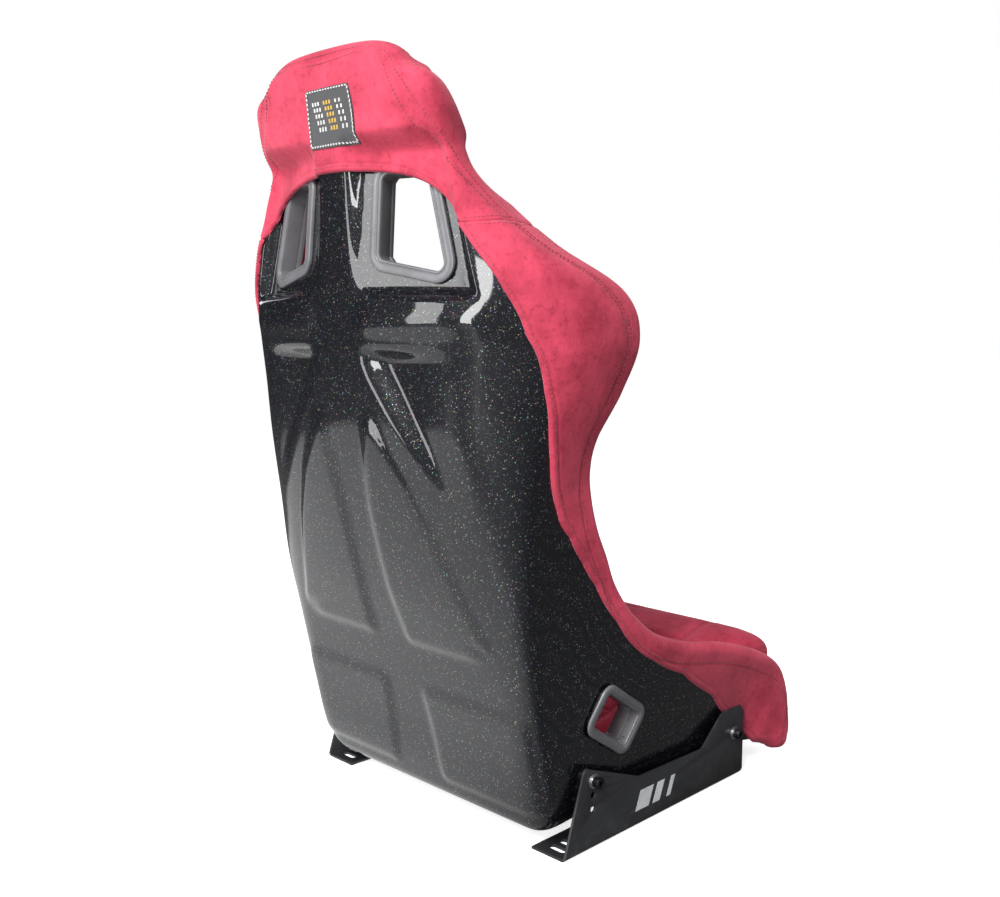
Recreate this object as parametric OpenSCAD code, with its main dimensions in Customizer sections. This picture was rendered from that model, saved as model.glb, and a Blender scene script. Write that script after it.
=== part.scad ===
/* [Shell] */
// Wall thickness of the moulded shell
shell_t = 4; // [3:0.5:5]
// Width over the outer faces of the two mounting brackets
mount_width = 442; // [430:2:456]
// Rings of the shell skin from the front edge to the head
shell_rings = 52; // [40:2:60]
// Points of the shell skin across one half
shell_half = 19; // [15:1:21]

/* [Upholstery] */
// Thickness of the suede and its foam backing on the outside
cover_t = 5; // [3:0.5:6]
// How far the padding stands past the rim of the shell
rim_roll = 12; // [8:1:14]
// Thickness of the shoulder bolsters
shoulder_pad_t = 32; // [20:1:36]
// Thickness of the thigh bolsters
thigh_pad_t = 17; // [12:1:20]
// Thickness of the headrest pad
head_pad_t = 19; // [16:1:30]
// Thickness of the removable back cushion
back_cushion_t = 34; // [24:1:40]
// Height of the front edge of the seat cushion above the floor
knee_z = 176; // [150:1:185]
// Height of the seat cushion at the hips above the floor
hip_z = 92; // [80:1:100]

/* [Belt openings] */
// Width of the plastic ring around each shoulder belt opening
harness_rim = 13; // [10:1:15]
// Length of each lap belt opening
lap_slot_l = 62; // [50:1:70]
// Height of each lap belt opening
lap_slot_h = 42; // [30:1:46]
// Width of the plastic ring around each lap belt opening
lap_rim = 11; // [8:1:13]
// Length of the crotch belt opening across the seat
crotch_slot_l = 64; // [55:1:75]
// Width of the crotch belt opening
crotch_slot_w = 24; // [18:1:30]

/* [Mounting brackets] */
// Thickness of the bracket steel
bracket_t = 3; // [2.5:0.5:4]
// Length of each bracket
bracket_l = 360; // [340:2:370]
// Width of the floor flange
flange_w = 52; // [46:1:58]
// Height of the rear end of the bracket
bracket_h = 100; // [98:1:110]
// Length of each slot in the floor flange
slot_l = 24; // [18:1:26]
// Width of each slot in the floor flange
slot_w = 9; // [8.5:0.5:10]
// Distance between the front and rear side bolts
bolt_pitch = 290; // [284:2:294]
// Height of the rear side bolt above the floor
rear_bolt_z = 83; // [80:1:86]
// Height of the front side bolt above the floor
front_bolt_z = 62; // [58:1:66]
// Step between the height holes at the rear of the bracket
hole_step = 17; // [16:1:18]

/* [Hidden] */
$fn = 48;

suede = "#b5303f";
plastic = "#3a3b3e";
steel = "#b9bcc0";

// Stations of the shell from the front edge, under the hips and up to the head.
// Each holds the centre line [y, z], the corner where the floor or back turns into
// the side [x, y, z], the middle of the side [x, y, z] and the rim [x, y, z].
stations = [
    [-284,  38, 206, -289,  29, 233, -297,  26, 230, -293,  66],
    [-272,  30, 206, -278,  25, 236, -285,  28, 231, -288,  96],
    [-243,  28, 206, -248,  25, 226, -257,  48, 232, -268, 128],
    [-196,  27, 203, -199,  25, 208, -205,  82, 233, -216, 156],
    [-124,  27, 202, -124,  25, 210, -129,  91, 233, -136, 184],
    [ -41,  27, 202,  -41,  25, 210,  -46,  95, 232,  -60, 200],
    [  41,  27, 202,   39,  25, 210,   29,  99, 230,    2, 222],
    [ 114,  24, 203,  108,  21, 210,   88, 103, 228,   43, 251],
    [ 160,  26, 206,  156,  24, 213,  126, 120, 227,   68, 277],
    [ 176,  58, 210,  174,  57, 215,  150, 151, 226,   87, 305],
    [ 191, 129, 213,  191, 126, 216,  164, 204, 226,  101, 336],
    [ 217, 223, 217,  209, 217, 219,  177, 276, 226,  118, 369],
    [ 246, 305, 220,  223, 298, 223,  191, 334, 227,  131, 405],
    [ 269, 388, 221,  230, 380, 228,  196, 397, 229,  138, 442],
    [ 286, 470, 229,  233, 464, 241,  194, 466, 237,  136, 481],
    [ 294, 537, 240,  227, 534, 259,  182, 531, 257,  120, 533],
    [ 298, 593, 252,  223, 591, 277,  168, 590, 271,  109, 588],
    [ 297, 640, 244,  238, 640, 270,  184, 640, 264,  126, 636],
    [ 297, 686, 210,  259, 686, 225,  218, 687, 213,  173, 683],
    [ 298, 733, 173,  271, 733, 179,  243, 735, 167,  206, 733],
    [ 300, 779, 150,  281, 779, 157,  258, 780, 149,  231, 778],
    [ 305, 829, 148,  291, 827, 155,  276, 827, 147,  256, 823],
    [ 310, 867, 133,  301, 862, 146,  290, 858, 142,  270, 851],
    [ 308, 888,  95,  300, 881, 128,  290, 872, 133,  276, 866],
    [ 298, 893,  86,  292, 888, 116,  285, 876, 127,  275, 871]
];
last = len(stations) - 1;
wide = mount_width / 442;

// Plane of the shoulder belt rings: a point on the right, and how y falls outwards and upwards
ring_at = [47, 290, 676];
ring_slope = [0.26, 0.084];
function ring_y(x, z) = ring_at[1] - ring_slope[0] * (abs(x) - ring_at[0]) - ring_slope[1] * (z - ring_at[2]);

function mix(a, b, t) = a + (b - a) * t;
function smooth(t) = let(c = max(0, min(1, t))) c * c * (3 - 2 * c);
// 1 on the flat pocket around a shoulder belt opening, 0 outside it
function pocket(x, z) =
    let(u = abs(x), outer = 166 - 0.28 * (z - 667))
    smooth((u - 24) / 18) * smooth((outer + 24 - u) / 20)
    * smooth((z - 612 + 0.2 * (u - 47)) / 20) * smooth((806 - z) / 26);

function knot(i) = stations[max(0, min(last, i))];
// Station at any place between two stations
function blended(s) =
    let(c = max(0, min(last, s)), i = min(floor(c), last - 1), t = c - i,
        a = knot(i - 1), b = knot(i), d = knot(i + 1), e = knot(i + 2))
    0.5 * (2 * b + (d - a) * t + (2 * a - 5 * b + 4 * d - e) * t * t
        + (3 * b - a - 3 * d + e) * t * t * t);
function bend(a, b, c, t) = a * (1 - t) * (1 - t) + b * 2 * t * (1 - t) + c * t * t;
// Half section from the centre line, t = 0, to the rim, t = 1, and past it by 100 mm a unit
function half_section(v, t) =
    let(c = [0, v[0], v[1]], c1 = [0.62 * v[2], v[0], v[1]], k = [v[2], v[3], v[4]],
        b = [v[5], v[6], v[7]], r = [v[8], v[9], v[10]], m1 = (c1 + k) / 2, m2 = (k + b) / 2)
    t < 1 / 3 ? bend(c, c1, m1, 3 * t)
    : t < 2 / 3 ? bend(m1, k, m2, 3 * t - 1)
    : t <= 1 ? bend(m2, b, r, 3 * t - 2)
    : r + 100 * (t - 1) * (r - b) / norm(r - b);
// Point of the smooth skin at station s and across at t, -1 left to 1 right
function skin_inside(s, t) = let(p = half_section(blended(s), abs(t))) [sign(t) * p[0] * wide, p[1], p[2]];
// The way on past an end: along the centre line there, turning forwards at the rim
function end_way(c, t) =
    let(d = skin_inside(c, 0) - skin_inside(c - 0.1 * sign(c - 1), 0), q = min(1, t * t),
        g = mix(d / norm(d), [0, -1, 0.2], q))
    g / norm(g);
// The same past the two ends, by 100 mm for each station
function skin(s, t) =
    let(c = max(0, min(last, s)), end = skin_inside(c, t))
    c == s ? end : end + 100 * abs(s - c) * end_way(c, t);
// Point of the skin with the flat pockets around the shoulder belt openings pressed in
function pressed(p) =
    let(m = p[1] > 200 ? pocket(p[0], p[2]) : 0) [p[0], p[1] + (ring_y(p[0], p[2]) - p[1]) * m, p[2]];
// Direction out of the seat at a point of the skin
function outward(s, t) =
    let(e = 0.02, ds = skin(s + e, t) - skin(s - e, t), dt = skin(s, t + e / 4) - skin(s, t - e / 4),
        n = cross(ds, dt))
    n / norm(n);

// Closed layer over a patch of the skin: place(u, v) gives [s, t] for u and v from 0 to 1,
// and its outer and inner faces stand far(u, v) and near(u, v) off the skin
module layer(rows, cols, place, far, near, pockets = false) {
    uv = [for (i = [0 : rows], j = [0 : cols]) [i / rows, j / cols]];
    at = [for (q = uv) place(q[0], q[1])];
    smooth_skin = [for (q = at) skin(q[0], q[1])];
    base = pockets ? [for (p = smooth_skin) pressed(p)] : smooth_skin;
    dirs = [for (q = at) outward(q[0], q[1])];
    n = len(at);
    w = cols + 1;
    points = concat(
        [for (k = [0 : n - 1]) base[k] + dirs[k] * far(uv[k][0], uv[k][1])],
        [for (k = [0 : n - 1]) base[k] + dirs[k] * near(uv[k][0], uv[k][1])]);
    cells = [for (i = [0 : rows - 1], j = [0 : cols - 1]) i * w + j];
    faces = concat(
        [for (a = cells) [a, a + 1, a + w + 1]],
        [for (a = cells) [a, a + w + 1, a + w]],
        [for (a = cells) [n + a, n + a + w + 1, n + a + 1]],
        [for (a = cells) [n + a, n + a + w, n + a + w + 1]],
        [for (i = [0 : rows - 1], k = [0, 1]) let(a = i * w)
            k == 0 ? [a, a + w, n + a + w] : [a, n + a + w, n + a]],
        [for (i = [0 : rows - 1], k = [0, 1]) let(a = i * w + cols)
            k == 0 ? [a, n + a, n + a + w] : [a, n + a + w, a + w]],
        [for (a = [0 : cols - 1], k = [0, 1])
            k == 0 ? [a, n + a, n + a + 1] : [a, n + a + 1, a + 1]],
        [for (j = [0 : cols - 1], k = [0, 1]) let(a = rows * w + j)
            k == 0 ? [a, a + 1, n + a + 1] : [a, n + a + 1, n + a]]);
    polyhedron(points, faces, convexity = 8);
}
// Padding thickness: full in the middle, down to a share of it at the edges
function crown(u, v, edge) = mix(edge, 1, pow(sin(180 * u) * sin(180 * v), 0.35));
module both_sides() {
    children();
    mirror([1, 0, 0]) children();
}
module on_side(side) {
    if (side > 0) children();
    else mirror([1, 0, 0]) children();
}

// Frame of a shoulder belt ring on the right: x across, y up, z into the seat
ring_yaw = -atan(ring_slope[0]);
ring_tilt = -atan(ring_slope[1] * cos(ring_yaw));
module ring_frame(side) {
    on_side(side)
    translate([ring_at[0] * wide, ring_at[1], ring_at[2]])
    rotate([0, 0, ring_yaw])
    rotate([90 - ring_tilt, 0, 0])
    children();
}
harness_hole = [[20, 1], [25, -5], [99, -19], [104, -13], [78, 80], [72, 85], [24, 85], [20, 80]];
// Outline moved outwards by d, for a shape whose corners turn one way
function grown(p, d) = [for (i = [0 : len(p) - 1])
    let(a = p[(i + len(p) - 1) % len(p)], b = p[i], c = p[(i + 1) % len(p)],
        e = (b - a) / norm(b - a), f = (c - b) / norm(c - b),
        m = [e[1] + f[1], -e[0] - f[0]], g = m / norm(m))
    b + g * d / (g * [e[1], -e[0]])];
module ring(hole, rim, low, high) {
    translate([0, 0, low])
    linear_extrude(high - low)
    difference() {
        polygon(grown(hole, rim));
        polygon(hole);
    }
}

// Frame of a lap belt ring on the right: x along the slot, z out of the seat
lap_at = [215.5, 64, 144];
lap_lean = 96.3;
lap_turn = 123.5;
module lap_frame(side) {
    on_side(side)
    translate([lap_at[0] * wide, lap_at[1], lap_at[2]])
    rotate([0, lap_lean, 0])
    rotate([0, 0, lap_turn])
    children();
}
module slot_shape(l, w) {
    hull_l = l - w;
    square([hull_l, w], center = true);
    for (x = [-hull_l / 2, hull_l / 2]) translate([x, 0]) circle(d = w);
}
function lap_hole() = let(l = lap_slot_l / 2 + 6, h = lap_slot_h / 2, c = 5)
    [[-l, c - h], [c - l, -h], [l - c, -h], [l, c - h], [l, h - c], [l - c, h], [c - l, h], [-l, h - c]];
crotch_at = [0, -110];
// How deep the ring on the back reaches into a shoulder belt opening
bezel_depth = 15;
// Room between the shell and the foam behind it
pad_gap = 1.8;
// Clearance of the shell around the inserts, rings and screws
fit = 0.4;
strip_t = 1.5;

module shell() {
    color("#15171c")
    resize([0, 0, 0])
    difference() {
        layer(shell_rings, 2 * shell_half, function(u, v) [last * u, 2 * v - 1],
            function(u, v) 0, function(u, v) -shell_t, pockets = true);
        for (side = [-1, 1]) {
            ring_frame(side) translate([0, 0, -10]) linear_extrude(40) polygon(grown(harness_hole, 3));
            lap_frame(side) translate([0, 0, -15]) linear_extrude(30) polygon(grown(lap_hole(), 3));
        }
        translate([crotch_at[0], crotch_at[1], 15]) linear_extrude(30)
            slot_shape(crotch_slot_l + 6, crotch_slot_w + 6);
        at_screws() cylinder(r = screw_r + fit, h = 30, $fn = 16);
        for (x = [-1, 1], p = bolt_places)
            translate([x * 205 * wide, p[0], p[1]]) rotate([0, 90, 0])
                cylinder(r = insert_r + fit, h = 40, center = true, $fn = 24);
    }
}

// Upholstery on the outside of the shell
trim_line = [0.5, 0.5, 0.55, 0.72, 0.88, 0.955, 0.975, 0.98, 0.985, 0.98, 0.97, 0.95, 0.92, 0.85, 0.74,
    0.58, 0.45, 0.41, 0.41, 0.41];
function trim_t(s) = let(c = max(0, min(18.99, s)), i = floor(c)) mix(trim_line[i], trim_line[i + 1], c - i);
wrap_t = 1 + rim_roll / 100;
front_s = -rim_roll / 100;
cover_top = 18.4;
// Room between the shell and the cover on it
cover_gap = 1.8;
module side_cover(side) {
    color(suede)
    on_side(side)
    difference() {
        layer(48, 10, function(u, v) let(s = mix(front_s, cover_top - 0.02, u))
            [s, mix(trim_t(s) + 0.003, wrap_t, v)],
            function(u, v) cover_t, function(u, v) cover_gap);
        // The bracket presses the cover in
        translate([plate_x - 0.3, bracket_front - 1, 0]) cube([10, 60, bracket_h]);
    }
}
module front_cover() {
    color(suede)
    layer(4, 12, function(u, v) [mix(front_s, 1.4, u), mix(-0.497, 0.497, v)],
        function(u, v) cover_t - 1, function(u, v) cover_gap);
}
function arch_s(t) = abs(t) > 0.412 ? cover_top : cover_top + 1.33 * sqrt(1 - pow(t / 0.412, 2));
head_rows = 14;
head_cols = 36;
module head_cover() {
    // The last row and the two end columns make the roll over the rim
    inner = head_cols / (head_cols - 2);
    color(suede)
    layer(head_rows, head_cols,
        function(u, v) let(a = (2 * v - 1) * inner, b = u * head_rows / (head_rows - 1),
            side = abs(a) > 1.001, end = b > 1.001, roll = rim_roll / (side && end ? 200 : 100),
            t = side ? sign(a) * (1 + roll) : a)
            [end ? last + roll : mix(arch_s(t), last, b), t],
        function(u, v) cover_t, function(u, v) cover_gap);
}

// Foam parts fixed inside the shell
pad_far = -(shell_t + pad_gap);
pad_front = shell_t + pad_gap + head_pad_t - 6;
module headrest_pad() {
    first = round(17.5 * shell_rings / last);
    rows = round(23.1 * shell_rings / last) - first;
    color(suede)
    difference() {
        layer(rows, 2 * shell_half, function(u, v) [(first + rows * u) * last / shell_rings, 2 * v - 1],
            function(u, v) pad_far, function(u, v) pad_far - head_pad_t * crown(mix(0.1, 0.98, u), v, 0.3),
            pockets = true);
        for (side = [-1, 1]) ring_frame(side) {
            translate([0, 0, -10]) linear_extrude(90) polygon(grown(harness_hole, 3.4));
            translate([0, 0, pad_front]) linear_extrude(60) polygon(grown(harness_hole, harness_rim));
        }
    }
}
module shoulder_bolster(side) {
    color(suede)
    on_side(side)
    layer(12, 7, function(u, v) [mix(12.05, 17.3, u), mix(0.37, wrap_t, v)],
        function(u, v) pad_far, function(u, v) pad_far - shoulder_pad_t * crown(u, v, 0.4));
}
module thigh_bolster(side) {
    color(suede)
    resize([0, 0, 0])
    difference() {
        on_side(side)
        layer(30, 8, function(u, v) [mix(0.15, 11.95, u), mix(0.46, wrap_t, v)],
            function(u, v) pad_far,
            function(u, v) pad_far - thigh_pad_t * crown(u, v, 0.5) * mix(0.45, 1, min(1, 3 * u)));
        lap_frame(side) translate([0, 0, -50]) linear_extrude(60) polygon(grown(lap_hole(), 3.4));
        // Room behind the insert plates
        on_side(side) for (p = bolt_places)
            translate([mount_x - 16, p[0] - 20, p[1] - 13]) cube([31, 40, 26]);
    }
}

// Removable cushions and the strips that hold them
module back_cushion() {
    far = -shell_t - 1.4 - 2 * strip_t;
    color(suede)
    layer(16, 12, function(u, v) [mix(9.5, 15.5, u), mix(-0.33, 0.33, v)],
        function(u, v) far, function(u, v) far - back_cushion_t * crown(u, v, 0.45));
}
module back_strips(top, kind) {
    color(kind)
    for (x = [-1, 1])
        layer(10, 3, function(u, v) [mix(11, 15.4, u), x * 0.16 + mix(-0.04, 0.04, v)],
            function(u, v) top, function(u, v) top - strip_t);
}
seat_strip = [50, 170, strip_t];
module seat_strips(low) {
    for (x = [-1, 1]) translate([x * 85, -20, low + strip_t / 2]) cube(seat_strip, center = true);
}
floor_z = 27 + shell_t;
// Cross-sections of the seat cushion from the knees back: y, low and high z, half width low and high
cushion = [
    [-303, 106, knee_z - 24, 192, 202],
    [-299, 82, knee_z - 5, 196, 211],
    [-287, 70, knee_z + 3, 198, 215],
    [-266, 68, knee_z + 5, 196, 214],
    [-246, 48, knee_z + 3, 172, 211],
    [-238, floor_z + 4, knee_z + 2, 160, 208],
    [-200, floor_z + 4, knee_z - 7, 160, 200],
    [-150, floor_z + 4, mix(hip_z, knee_z, 0.7), 160, 190],
    [-90, floor_z + 4, mix(hip_z, knee_z, 0.36), 160, 182],
    [-30, floor_z + 4, mix(hip_z, knee_z, 0.12), 160, 177],
    [40, floor_z + 4, hip_z, 160, 176],
    [90, floor_z + 4, hip_z - 3, 158, 173],
    [118, floor_z + 5, hip_z - 9, 148, 160],
    [130, floor_z + 14, hip_z - 20, 132, 144]
];
corners = 24;
function power(a, p) = sign(a) * pow(abs(a), p);
module seat_cushion() {
    rings = [for (c = cushion) [for (k = [0 : corners - 1])
        let(a = 360 * k / corners, h = power(sin(a), 0.4), z = mix(c[1], c[2], (h + 1) / 2),
            w = mix(c[3], c[4], (h + 1) / 2))
        [w * power(cos(a), 0.3), c[0], z]]];
    n = len(cushion);
    points = [for (r = rings) each r];
    color(suede)
    difference() {
        polyhedron(points, concat(
            [[for (k = [corners - 1 : -1 : 0]) k]],
            [[for (k = [0 : corners - 1]) (n - 1) * corners + k]],
            [for (i = [0 : n - 2], k = [0 : corners - 1]) let(a = i * corners, d = (k + 1) % corners)
                [a + k, a + corners + d, a + corners + k]],
            [for (i = [0 : n - 2], k = [0 : corners - 1]) let(a = i * corners, d = (k + 1) % corners)
                [a + k, a + d, a + corners + d]]), convexity = 4);
        translate([crotch_at[0], crotch_at[1], 20]) linear_extrude(160)
            slot_shape(crotch_slot_l + 8, crotch_slot_w + 8);
    }
}

// Plastic rings of the belt openings
ring_wall = 2.4;
module harness_bezel(side) {
    color(plastic)
    ring_frame(side) {
        ring(harness_hole, harness_rim, -5.6, -2);
        ring(harness_hole, ring_wall, -3, bezel_depth);
    }
}
module harness_liner(side) {
    color(plastic)
    ring_frame(side) {
        ring(harness_hole, ring_wall, bezel_depth + 0.3, pad_front + 3.8);
        ring(harness_hole, harness_rim - 3, pad_front + 0.4, pad_front + 3.8);
    }
}
module lap_bezel(side) {
    color(plastic)
    lap_frame(side) {
        ring(lap_hole(), lap_rim, 2.6, 5.6);
        ring(lap_hole(), ring_wall, -7, 3);
    }
}
module lap_liner(side) {
    inner = -(shell_t + pad_gap + thigh_pad_t);
    color(plastic)
    lap_frame(side) {
        ring(lap_hole(), ring_wall, inner - 2, -7.3);
        ring(lap_hole(), lap_rim - 3, inner - 4, inner - 1);
    }
}
module crotch_bezel() {
    color(plastic)
    difference() {
        translate([crotch_at[0], crotch_at[1], 0]) {
            translate([0, 0, 23.5]) linear_extrude(3) slot_shape(crotch_slot_l + 26, crotch_slot_w + 26);
            translate([0, 0, 25]) linear_extrude(9) slot_shape(crotch_slot_l + 5, crotch_slot_w + 5);
        }
        translate([crotch_at[0], crotch_at[1], 20]) linear_extrude(20)
            slot_shape(crotch_slot_l, crotch_slot_w);
        at_screws() cylinder(r = screw_r + 0.15, h = 10);
    }
}
screw_r = 1.75;
module at_screws() {
    for (x = [-1, 1], y = [-1, 1])
        translate([x * (crotch_slot_l / 2 - 8), crotch_at[1] + y * (crotch_slot_w / 2 + 6.5), 21.9])
            children();
}
module bezel_screws() {
    color(steel)
    at_screws() {
        cylinder(r = 3.2, h = 1.5);
        cylinder(r = screw_r, h = 10);
    }
}

// Side mounting: brackets, bolts and inserts
half_mount = mount_width / 2;
plate_x = half_mount - bracket_t;
rear_y = 107;
front_y = rear_y - sqrt(pow(bolt_pitch, 2) - pow(rear_bolt_z - front_bolt_z, 2));
bolt_places = [[rear_y, rear_bolt_z], [front_y, front_bolt_z]];
bolt_r = 4;
insert_r = 5.5;
bracket_rear = 155;
bracket_front = bracket_rear - bracket_l;
slot_x = half_mount - 26;
slot_rows = [bracket_rear - 17, bracket_rear - 35, bracket_front + 35, bracket_front + 17];
// The origin is the centre of the floor slots
module placed() {
    translate([0, -(slot_rows[0] + slot_rows[3]) / 2, 0]) children();
}
// Outline of the plate seen from the side, y and z
plate = concat(
    [[bracket_rear, 0], [bracket_rear, 3]],
    [for (a = [0 : 20 : 80]) [bracket_rear - 38 + 8 * cos(a + 10), bracket_h - 8 + 8 * sin(a + 10)]],
    [[bracket_rear - 44, bracket_h - 3], [20, 62], [-84, 60], [-108, 59], [-114, 62], [-153, 94],
        [-160, bracket_h - 4], [bracket_front + 8, bracket_h - 4], [bracket_front, bracket_h - 12],
        [bracket_front, 6], [bracket_front + 6, 0]]);
bend_r = 6;
module bracket(side) {
    color("#303134")
    on_side(side)
    difference() {
        intersection() {
            // L section with a bent corner, run along the whole bracket
            translate([0, bracket_rear, 0]) rotate([90, 0, 0]) linear_extrude(bracket_l)
                polygon(concat(
                    [[half_mount - flange_w, 0]],
                    [for (a = [0 : 15 : 90])
                        [half_mount - bend_r + bend_r * sin(a), bend_r - bend_r * cos(a)]],
                    [[half_mount, bracket_h], [plate_x, bracket_h]],
                    [for (a = [90 : -15 : 0]) [half_mount - bend_r + (bend_r - bracket_t) * sin(a),
                        bend_r - (bend_r - bracket_t) * cos(a)]],
                    [[half_mount - flange_w, bracket_t]]));
            translate([half_mount + 1, 0, 0]) rotate([90, 0, -90]) linear_extrude(flange_w + 2)
                polygon([for (p = plate) [-p[0], p[1]]]);
        }
        for (y = slot_rows) translate([slot_x, y, -1]) linear_extrude(bracket_t + 2)
            slot_shape(slot_l, slot_w);
        for (k = [0 : 2])
            translate([plate_x - 1, rear_y, rear_bolt_z - k * hole_step]) rotate([0, 90, 0])
                cylinder(r = bolt_r + 0.25, h = bracket_t + 2);
        translate([plate_x - 1, front_y, front_bolt_z]) rotate([0, 90, 0])
            cylinder(r = bolt_r + 0.25, h = bracket_t + 2);
    }
}
module at_bolts() {
    both_sides() for (p = bolt_places) translate([half_mount, p[0], p[1]]) rotate([0, 90, 0]) children();
}
washer_t = 1.6;
spring_t = 2;
head_h = 8;
bolt_l = 30;
module mount_bolts() {
    color("#1c1c1e")
    at_bolts() {
        difference() {
            translate([0, 0, washer_t + spring_t]) cylinder(r = 6.5, h = head_h);
            translate([0, 0, washer_t + spring_t + head_h - 4]) cylinder(r = 6 / sqrt(3), h = 5, $fn = 6);
        }
        translate([0, 0, washer_t + spring_t - bolt_l]) cylinder(r = bolt_r, h = bolt_l);
    }
}
module mount_washers() {
    color(steel)
    at_bolts() difference() {
        cylinder(r = 8.75, h = washer_t);
        translate([0, 0, -1]) cylinder(r = bolt_r + 0.2, h = washer_t + 2);
    }
}
module spring_washers() {
    color(steel)
    at_bolts() translate([0, 0, washer_t]) difference() {
        cylinder(r = 7.4, h = spring_t);
        translate([0, 0, -1]) cylinder(r = bolt_r + 0.1, h = spring_t + 2);
        translate([3, -0.6, -1]) cube([6, 1.2, spring_t + 2]);
    }
}
// Outer face of the shell at the bolts
mount_x = 208.6 * wide;
module mount_spacers() {
    color("#1c1c1e")
    both_sides() for (p = bolt_places) translate([0, p[0], p[1]]) rotate([0, 90, 0])
        translate([0, 0, mount_x + 1.4]) difference() {
            cylinder(r = 9, h = plate_x - mount_x - 1.4);
            translate([0, 0, -1]) cylinder(r = bolt_r + 0.25, h = plate_x - mount_x + 2);
        }
}
module threaded_inserts() {
    color(steel)
    both_sides() for (p = bolt_places) translate([mount_x - 12, p[0], p[1]]) rotate([0, 90, 0])
        difference() {
            union() {
                cylinder(r = 8.5, h = 1.5);
                cylinder(r = insert_r, h = 12);
            }
            translate([0, 0, -1]) cylinder(r = bolt_r + 0.05, h = 16);
        }
}
module insert_plates() {
    color(steel)
    both_sides() for (p = bolt_places) translate([mount_x - 9.3, p[0], p[1]]) rotate([0, 90, 0])
        difference() {
            translate([-9, -18, -1]) cube([18, 36, 2]);
            translate([0, 0, -2]) cylinder(r = insert_r + 0.2, h = 4);
        }
}

placed() shell();
placed() head_cover();
placed() front_cover();
placed() side_cover(-1);  // side_cover_left
placed() side_cover(1);  // side_cover_right
placed() headrest_pad();
placed() shoulder_bolster(-1);  // shoulder_bolster_left
placed() shoulder_bolster(1);  // shoulder_bolster_right
placed() thigh_bolster(-1);  // thigh_bolster_left
placed() thigh_bolster(1);  // thigh_bolster_right
placed() back_cushion();
placed() back_strips(-shell_t - 0.9 - strip_t, suede);  // back_loop_strips
placed() seat_cushion();
placed() color(suede) seat_strips(floor_z + strip_t + 0.6);  // seat_loop_strips
placed() back_strips(-shell_t - 0.6, "black");  // back_hook_strips
placed() color("black") seat_strips(floor_z + 0.3);  // seat_hook_strips
placed() harness_bezel(-1);  // harness_bezel_left
placed() harness_bezel(1);  // harness_bezel_right
placed() harness_liner(-1);  // harness_liner_left
placed() harness_liner(1);  // harness_liner_right
placed() lap_bezel(-1);  // lap_bezel_left
placed() lap_bezel(1);  // lap_bezel_right
placed() lap_liner(-1);  // lap_liner_left
placed() lap_liner(1);  // lap_liner_right
placed() crotch_bezel();
placed() bezel_screws();
placed() bracket(-1);  // bracket_left
placed() bracket(1);  // bracket_right
placed() mount_bolts();
placed() mount_washers();
placed() spring_washers();
placed() mount_spacers();
placed() threaded_inserts();
placed() insert_plates();
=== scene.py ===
import math

import bmesh
import bpy
import numpy as np
from mathutils import Matrix, Vector
from mathutils.bvhtree import BVHTree


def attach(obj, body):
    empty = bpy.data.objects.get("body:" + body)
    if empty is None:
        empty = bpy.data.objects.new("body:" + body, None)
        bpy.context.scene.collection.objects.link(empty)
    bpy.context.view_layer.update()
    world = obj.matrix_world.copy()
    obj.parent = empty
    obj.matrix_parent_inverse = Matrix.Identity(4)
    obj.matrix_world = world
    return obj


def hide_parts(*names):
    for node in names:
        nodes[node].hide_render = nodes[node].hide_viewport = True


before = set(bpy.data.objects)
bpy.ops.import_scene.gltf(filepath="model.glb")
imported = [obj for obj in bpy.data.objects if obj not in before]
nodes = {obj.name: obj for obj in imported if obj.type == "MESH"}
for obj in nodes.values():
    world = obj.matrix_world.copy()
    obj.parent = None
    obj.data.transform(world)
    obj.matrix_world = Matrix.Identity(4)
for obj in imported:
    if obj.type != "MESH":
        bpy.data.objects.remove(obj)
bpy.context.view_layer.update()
mm = 0.001
root = "seat_frame"


# ---- camera and studio -------------------------------------------------------
view = {"place": (-1.0062, 1.0745, 0.6109), "azimuth": 224.84, "down": 6.74, "roll": 0.1, "lens": 40.05}


def addCamera():
    az, down = math.radians(view["azimuth"]), math.radians(view["down"])
    ahead = Vector((-math.sin(az) * math.cos(down), math.cos(az) * math.cos(down), -math.sin(down)))
    data = bpy.data.cameras.new("seatCamera")
    data.lens = view["lens"]
    data.sensor_width = 36
    data.clip_end = 60
    camera = bpy.data.objects.new("seatCamera", data)
    turn = ahead.to_track_quat("-Z", "Y") @ Matrix.Rotation(math.radians(view["roll"]), 3, "Z").to_quaternion()
    camera.rotation_mode = "QUATERNION"
    camera.rotation_quaternion = turn
    camera.location = view["place"]
    bpy.context.scene.collection.objects.link(camera)
    bpy.context.scene.camera = camera


addCamera()
print("camera set")


# ---- materials ---------------------------------------------------------------
def shaderGroup(name, inputs, outputs):
    group = bpy.data.node_groups.new(name, "ShaderNodeTree")
    for label, kind, value in inputs:
        socket = group.interface.new_socket(label, in_out="INPUT", socket_type=kind)
        if value is not None:
            socket.default_value = value
    for label, kind in outputs:
        group.interface.new_socket(label, in_out="OUTPUT", socket_type=kind)
    return group, group.nodes.new("NodeGroupInput"), group.nodes.new("NodeGroupOutput")


def addNode(tree, kind, **values):
    node = tree.nodes.new("ShaderNode" + kind)
    for key, value in values.items():
        if key in node.inputs:
            node.inputs[key].default_value = value
        else:
            setattr(node, key, value)
    return node


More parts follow.
